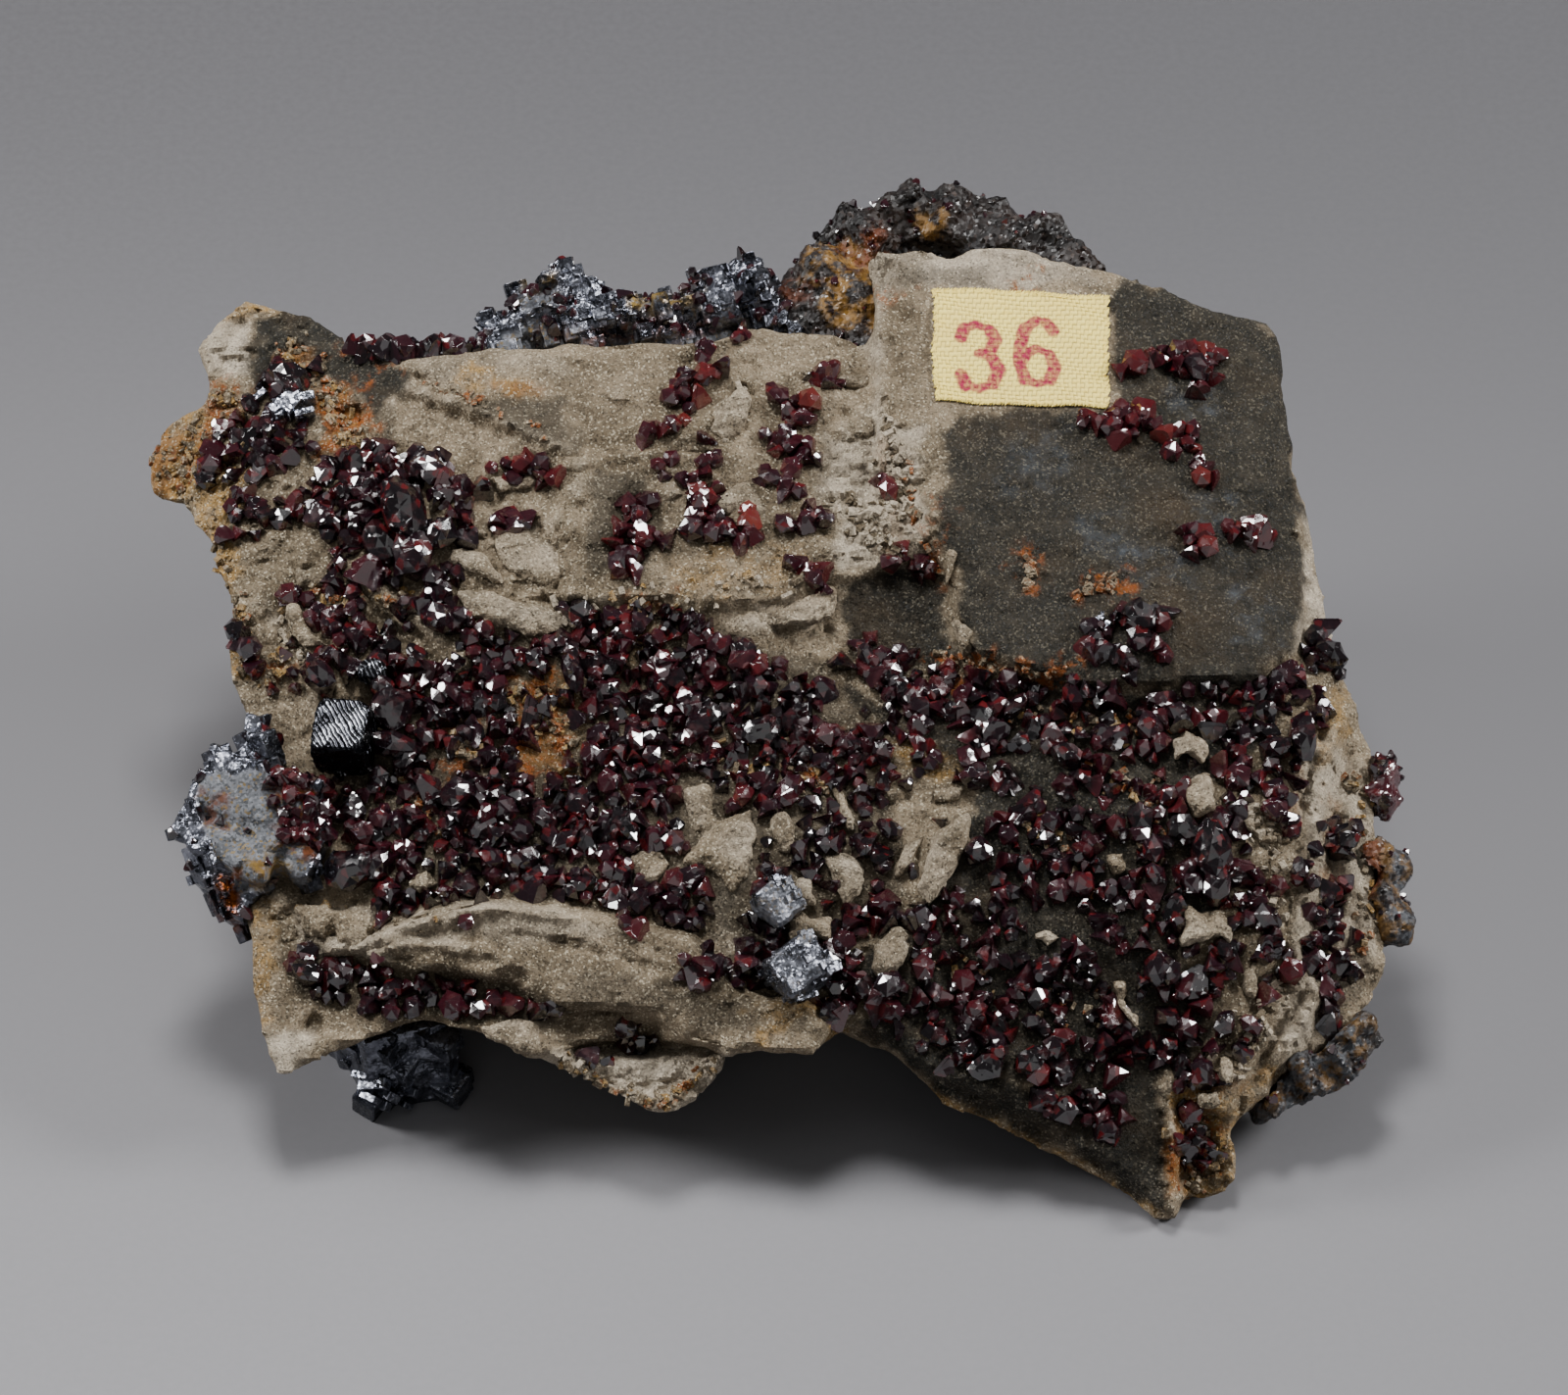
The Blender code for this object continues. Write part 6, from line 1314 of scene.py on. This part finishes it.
# Crumbs: rusty, ochre and pale grains of the broken rock, which lie in its hollows and cling along its
# edges. A row of them has a count, a spread, its least and greatest tone and its line, and each crumb
# takes its stain from its tone.
CRUMB_STAINS = [("rust", 0.0, 0.3), ("ochre", 0.3, 0.5), ("halo", 0.5, 0.7), ("pale", 0.7, 1.1)]
CRUMB_LINES = [
    (70, 1.2, (0.0, 0.6), [(-59, 26), (-56, 22), (-55, 28)]),
    (60, 1.0, (0.2, 0.7), [(-54, 19), (-51, 10), (-50, 3)]),
    (60, 1.2, (0.0, 0.5), [(-54, 32), (-51, 29), (-52, 24)]),
    (60, 1.3, (0.0, 0.6), [(-47, 37), (-44, 34), (-41, 30)]),
    (70, 1.2, (0.0, 0.5), [(-43, 32), (-41, 27), (-39, 26)]),
    (90, 1.3, (0.6, 1.0), [(9.6, 29), (10.6, 22), (8, 16)]),
    (60, 1.2, (0.5, 1.0), [(5, 21), (8, 17), (11, 15)]),
    (26, 0.5, (0.0, 0.25), [(11, 24), (12.4, 18), (14, 13)]),
    (40, 0.8, (0.0, 0.3), [(14, 4), (20, 3), (26, 2.6)]),
    (26, 0.7, (0.0, 0.25), [(27, 11), (30.6, 11.6)]),
    (12, 0.5, (0.0, 0.25), [(23, 14.6), (22.6, 11)]),
    (60, 1.6, (0.0, 0.6), [(-24, 1), (-21, -3), (-20, -7)]),
    (30, 1.2, (0.0, 0.6), [(-30, -4), (-28, -7)]),
    (110, 0.7, (0.1, 0.8), [(-20, -37), (-16, -40), (-11, -41), (-6, -37)]),
    (60, 1.2, (0.0, 0.6), [(36, -42), (39, -46), (37, -50)]),
    (70, 1.5, (0.5, 1.0), [(40, -38), (44, -32), (46, -28)]),
    (60, 1.2, (0.5, 1.0), [(42, -11), (45, -15), (44, -22)]),
    (40, 1.0, (0.1, 0.6), [(52, -8), (54, -16), (53, -26)]),
    (50, 1.2, (0.3, 0.9), [(-46, 10), (-45, 5), (-48, 2)]),
    (30, 1.0, (0.0, 0.5), [(-12, 9.4), (-15, 8)]),
    (40, 1.2, (0.2, 0.8), [(-44, -22), (-38, -23), (-30, -21.6)]),
    (20, 0.8, (0.0, 0.3), [(2, -5), (4, -9)]),
    (30, 1.0, (0.5, 1.0), [(-4, 32), (-5, 27)]),
    (24, 0.5, (0.0, 0.3), [(-34, 33), (-28, 30.6), (-22, 27)]),
    (40, 1.6, (0.0, 0.45), [(20, 0), (28, -2), (35, -3)]),
    (40, 1.6, (0.0, 0.4), [(30, -7), (34, -12), (33, -17)]),
    (40, 1.8, (0.0, 0.45), [(-8, -3), (-2, -6), (4, -8)]),
    (30, 1.6, (0.0, 0.45), [(22, -12), (27, -18)]),
    (30, 1.6, (0.0, 0.45), [(12, -26), (20, -30), (28, -33)]),
    (30, 1.4, (0.0, 0.45), [(-36, -8), (-30, -14)]),
    (50, 1.2, (0.1, 0.7), [(-44, 11), (-40, 10), (-34, 9.6)]),
    (60, 1.4, (0.4, 1.0), [(-24, 8), (-12, 10.6), (2, 11.6)]),
]
CRUMB_SHAPES = [cube_shape((1.0, 0.8, 0.6)), cube_shape((1.3, 0.6, 0.5))]
crumb_plants = []
for count, spread, (low, high), line in CRUMB_LINES:
    for _ in range(count):
        i = rng.randrange(len(line) - 1)
        (x1, s1), (x2, s2) = line[i:i + 2]
        part = rng.random()
        x = x1 + (x2 - x1) * part + rng.gauss(0, spread * 0.6)
        s = s1 + (s2 - s1) * part + rng.gauss(0, spread * 0.6)
        plant = grown(x, s, rng.uniform(0.3, 0.9), 0.9)
        if plant:
            place, turn, size, _ = plant
            crumb_plants.append((place, turn, size, rng.uniform(low, high)))
crumbs_piece = joined_crystals("rock_crumbs", crumb_plants, CRUMB_SHAPES)
tones = np.empty(len(crumbs_piece.data.vertices))
crumbs_piece.data.attributes["tone"].data.foreach_get("value", tones)
for stain, low, high in CRUMB_STAINS:
    set_attribute(crumbs_piece.data, stain, np.where((tones >= low) & (tones < high), 0.9, 0.0))
crumbs_piece.data.materials.append(dolomite)
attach(crumbs_piece, "root")

# Cleavage plates: broken blades of galena that still sit where it cleaved, on the rock and under the
# front corner, and flash white. Those of the rock face the box overhead, and the corner's the left lamp.
# Each is a place and a size.
PLATES = [
    (-46.6, 30.4, 2.4), (-45.8, 29.8, 2.4), (-45.2, 30.6, 2.0), (-47.4, 29.6, 1.8), (-46.2, 31.2, 1.6),
    (-49.2, 31.2, 1.3), (-44.8, 29.2, 1.5), (28.6, 7.6, 1.2), (29.6, 7.0, 1.1), (29.2, 8.0, 1.0),
    (50.2, 4.2, 1.2), (-39.0, -17.8, 1.6),
]
CORNER_PLATES = [
    (-38.6, -38.8, 1.5), (-37.4, -39.8, 2.2), (-36.2, -40.8, 2.3), (-35.0, -41.6, 1.9),
    (-36.9, -41.9, 1.7), (-37.9, -41.0, 1.4), (-34.2, -40.6, 1.4),
]
corner = bpy.data.objects["galena_corner_foot"]
corner_tree = BVHTree.FromObject(corner, bpy.context.evaluated_depsgraph_get())
PLATE_PLANTINGS = [
    (PLATES, rock_tree, Vector((-0.04, -0.16, 0.98)), 0.12, (0.7, 1.3), 0.3),
    (CORNER_PLATES, corner_tree, Vector((-0.52, -0.31, 0.80)), 0.07, (0.2, 1.0), 0.25),
]
PLATE_SHAPES = [cube_shape((1.2, 0.5, 0.6)), cube_shape((1.0, 0.35, 0.7))]
plate_plants = []
for places, tree, facing, lean, spins, rise in PLATE_PLANTINGS:
    for x, s, size in places:
        point = tree.ray_cast(face_point(x, s, 40), -RAISE)[0]
        if point is not None:
            axis = leaning(facing, lean)
            turn = axis.to_track_quat("Z", "Y").to_matrix() @ Matrix.Rotation(rng.uniform(*spins), 3, "Z")
            plate_plants.append((point + axis * rise * size * MM, turn, size, rng.uniform(0.5, 1.0)))
plates = joined_crystals("cleavage_plates", plate_plants, PLATE_SHAPES)
plates.data.materials.append(galena)
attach(plates, "root")

# Number label: a small patch of cream calico that a collector cut, stamped with a number in crimson
# ink and glued flat. The threads are modelled, a little coarser than real, so that they show. A digit
# is a box on the label, as shares of its width and height, and a line inside that box.
LABEL_WIDE, LABEL_HIGH = 16.2, 12
LABEL_CORNERS = [(14.0, 42.7), (30.3, 41.8), (30.1, 30.0), (14.0, 30.8)]
WARP, WEFT = 44, 25
LABEL_COLUMNS, LABEL_ROWS = WARP * 4, WEFT * 5
THREAD_HEIGHT = 0.10
CLOTH_THICKNESS, GLUE_HEIGHT = 0.12, 0.16
LEVEL_ROWS, LEVEL_COLUMNS = 8, 11
STROKE_LEVEL, STROKE_STEEP, INK_BLUR = 0.30, 0.36, 0.12
DIGITS = [
    ((0.145, 0.12, 0.235, 0.57), [(0.04, 0.78), (0.14, 0.93), (0.42, 1.0), (0.76, 0.93), (0.88, 0.76),
                                  (0.76, 0.60), (0.44, 0.53), (0.76, 0.47), (0.96, 0.28), (0.84, 0.09),
                                  (0.5, 0.0), (0.16, 0.04), (0.03, 0.20)]),
    ((0.475, 0.18, 0.235, 0.57), [(0.88, 0.84), (0.72, 0.97), (0.5, 1.0), (0.24, 0.88), (0.08, 0.60),
                                  (0.06, 0.30), (0.2, 0.07), (0.5, 0.0), (0.82, 0.07), (0.95, 0.28),
                                  (0.82, 0.48), (0.5, 0.56), (0.22, 0.46), (0.08, 0.30)]),
]
bpy.ops.object.select_all(action="DESELECT")
bpy.ops.mesh.primitive_grid_add(x_subdivisions=LABEL_COLUMNS, y_subdivisions=LABEL_ROWS, size=1.0)
label = bpy.context.object
label.name = "cloth_label"
back_left, back_right, front_right, front_left = [np.array(corner) for corner in LABEL_CORNERS]
flat_places, _ = vertex_places(label.data)
u = flat_places[:, 0] * MM + 0.5
v = flat_places[:, 1] * MM + 0.5
front = front_left + (front_right - front_left) * u[:, None]
back = back_left + (back_right - back_left) * u[:, None]
label_plan = front + (back - front) * v[:, None]
edge = np.minimum(np.minimum(u * WARP, (1 - u) * WARP), np.minimum(v * WEFT, (1 - v) * WEFT))
fray = 0.20 * np.sin(u * WARP * 9.1 + 4 * np.sin(v * 31)) * np.clip(1 - edge, 0, 1)
fray += 0.12 * np.sin(v * 9 + 1) * np.sin(u * 7 + 2) + 0.07 * np.sin(v * 23 + u * 17)

# The cloth lies on the highest grains of the rock under it, and spans those between.
levels = np.zeros((LEVEL_ROWS + 1, LEVEL_COLUMNS + 1))
for i, row in enumerate(np.linspace(0, 1, LEVEL_ROWS + 1)):
    for j, column in enumerate(np.linspace(0, 1, LEVEL_COLUMNS + 1)):
        middle = (front_left + (front_right - front_left) * column) * (1 - row)
        middle = middle + (back_left + (back_right - back_left) * column) * row
        levels[i, j] = max(height_of(ground(middle[0] + dx, middle[1] + ds)[0])
                           for dx in (-0.7, 0, 0.7) for ds in (-0.7, 0, 0.7))
row_place, column_place = v * LEVEL_ROWS, u * LEVEL_COLUMNS
row_low = np.minimum(row_place.astype(int), LEVEL_ROWS - 1)
column_low = np.minimum(column_place.astype(int), LEVEL_COLUMNS - 1)
row_part, column_part = row_place - row_low, column_place - column_low
front_level, back_level = [
    levels[rows, column_low] * (1 - column_part) + levels[rows, column_low + 1] * column_part
    for rows in (row_low, row_low + 1)
]
level = front_level * (1 - row_part) + back_level * row_part + GLUE_HEIGHT
ripple = 0.08 * np.sin(u * 5.0 + 1.0) * np.sin(v * 4.0)
over = (np.floor(u * WARP) + np.floor(v * WEFT)) % 2 == 0
warp_arch = np.abs(np.sin(math.pi * u * WARP))
weft_arch = np.abs(np.sin(math.pi * v * WEFT))
thread = np.where(over, warp_arch * (0.45 + 0.55 * weft_arch), weft_arch * (0.45 + 0.55 * warp_arch))
slub = 1 + 0.25 * np.sin(np.floor(u * WARP) * 2.3) * np.sin(np.floor(v * WEFT) * 1.7)
rise = level + ripple + THREAD_HEIGHT * thread * slub
places = [face_point(x, s, h) for (x, s), h in zip(label_plan + fray[:, None], rise)]
set_places(label.data, np.array(places) / MM)
ink = np.zeros(len(u))
for (left, bottom, wide, high), line in DIGITS:
    for (x1, y1), (x2, y2) in zip(line, line[1:]):
        start = ((left + x1 * wide) * LABEL_WIDE, (bottom + y1 * high) * LABEL_HIGH)
        end = ((left + x2 * wide) * LABEL_WIDE, (bottom + y2 * high) * LABEL_HIGH)
        steep = abs(end[1] - start[1]) / (math.dist(start, end) + 1e-9)
        reach = line_distance([start, end], u * LABEL_WIDE, v * LABEL_HIGH)
        stroke = STROKE_LEVEL + STROKE_STEEP * steep
        ink = np.maximum(ink, soft_step(stroke - reach, -INK_BLUR, INK_BLUR))
set_attribute(label.data, "ink", ink)
# Painted shade: the cloth darkens between its threads.
set_attribute(label.data, "hollow", 1 - thread)
apply_modifier(label, "SOLIDIFY", thickness=CLOTH_THICKNESS * MM, offset=-1.0)

# Stamped calico is plain-woven cotton: cream, matt and a little fluffy, yellower with age, with painted
# shade between its threads. The ink is crimson and takes unevenly.
calico = new_material("stamped calico")
coords = add_node(calico, "TexCoord")
fuzz = add_node(calico, "TexNoise", {"Vector": (coords, "Object"), "Scale": 2200.0, "Detail": 4.0})
age = add_node(calico, "TexNoise", {"Vector": (coords, "Object"), "Scale": 180.0, "Detail": 3.0})
aged = add_node(calico, "MapRange", {"Value": (age, 0), "From Min": 0.4, "From Max": 0.7, "To Max": 0.5})
hollow = add_node(calico, "Attribute", attribute_name="hollow")
shaded = add_node(calico, "MapRange", {"Value": (hollow, "Fac"), "From Min": 0.55, "From Max": 1.0,
                                       "To Max": 0.8})
stamp = add_node(calico, "Attribute", attribute_name="ink")
take = add_node(calico, "MapRange", {"Value": (fuzz, 0), "From Min": 0.3, "From Max": 0.62, "To Min": 0.6})
inked = add_node(calico, "Math", {0: (stamp, "Fac"), 1: (take, 0)}, operation="MULTIPLY")
yarn = add_node(calico, "Mix", {SHARE: (fuzz, 0), FIRST: linear("#f7d75c"), SECOND: linear("#ffed86")},
                data_type="RGBA")
for share, code in [(aged, "#e8cd74"), (shaded, "#a08d50"), (inked, "#94123c")]:
    yarn = add_node(calico, "Mix", {SHARE: (share, 0), FIRST: (yarn, MIXED), SECOND: linear(code)},
                    data_type="RGBA")
shader = add_node(calico, "BsdfPrincipled", {"Base Color": (yarn, MIXED), "Roughness": 0.9,
                                             "Sheen Weight": 0.05})
add_node(calico, "OutputMaterial", {"Surface": (shader, "BSDF")})
label.data.materials.append(calico)
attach(label, "root")
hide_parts("number_label")
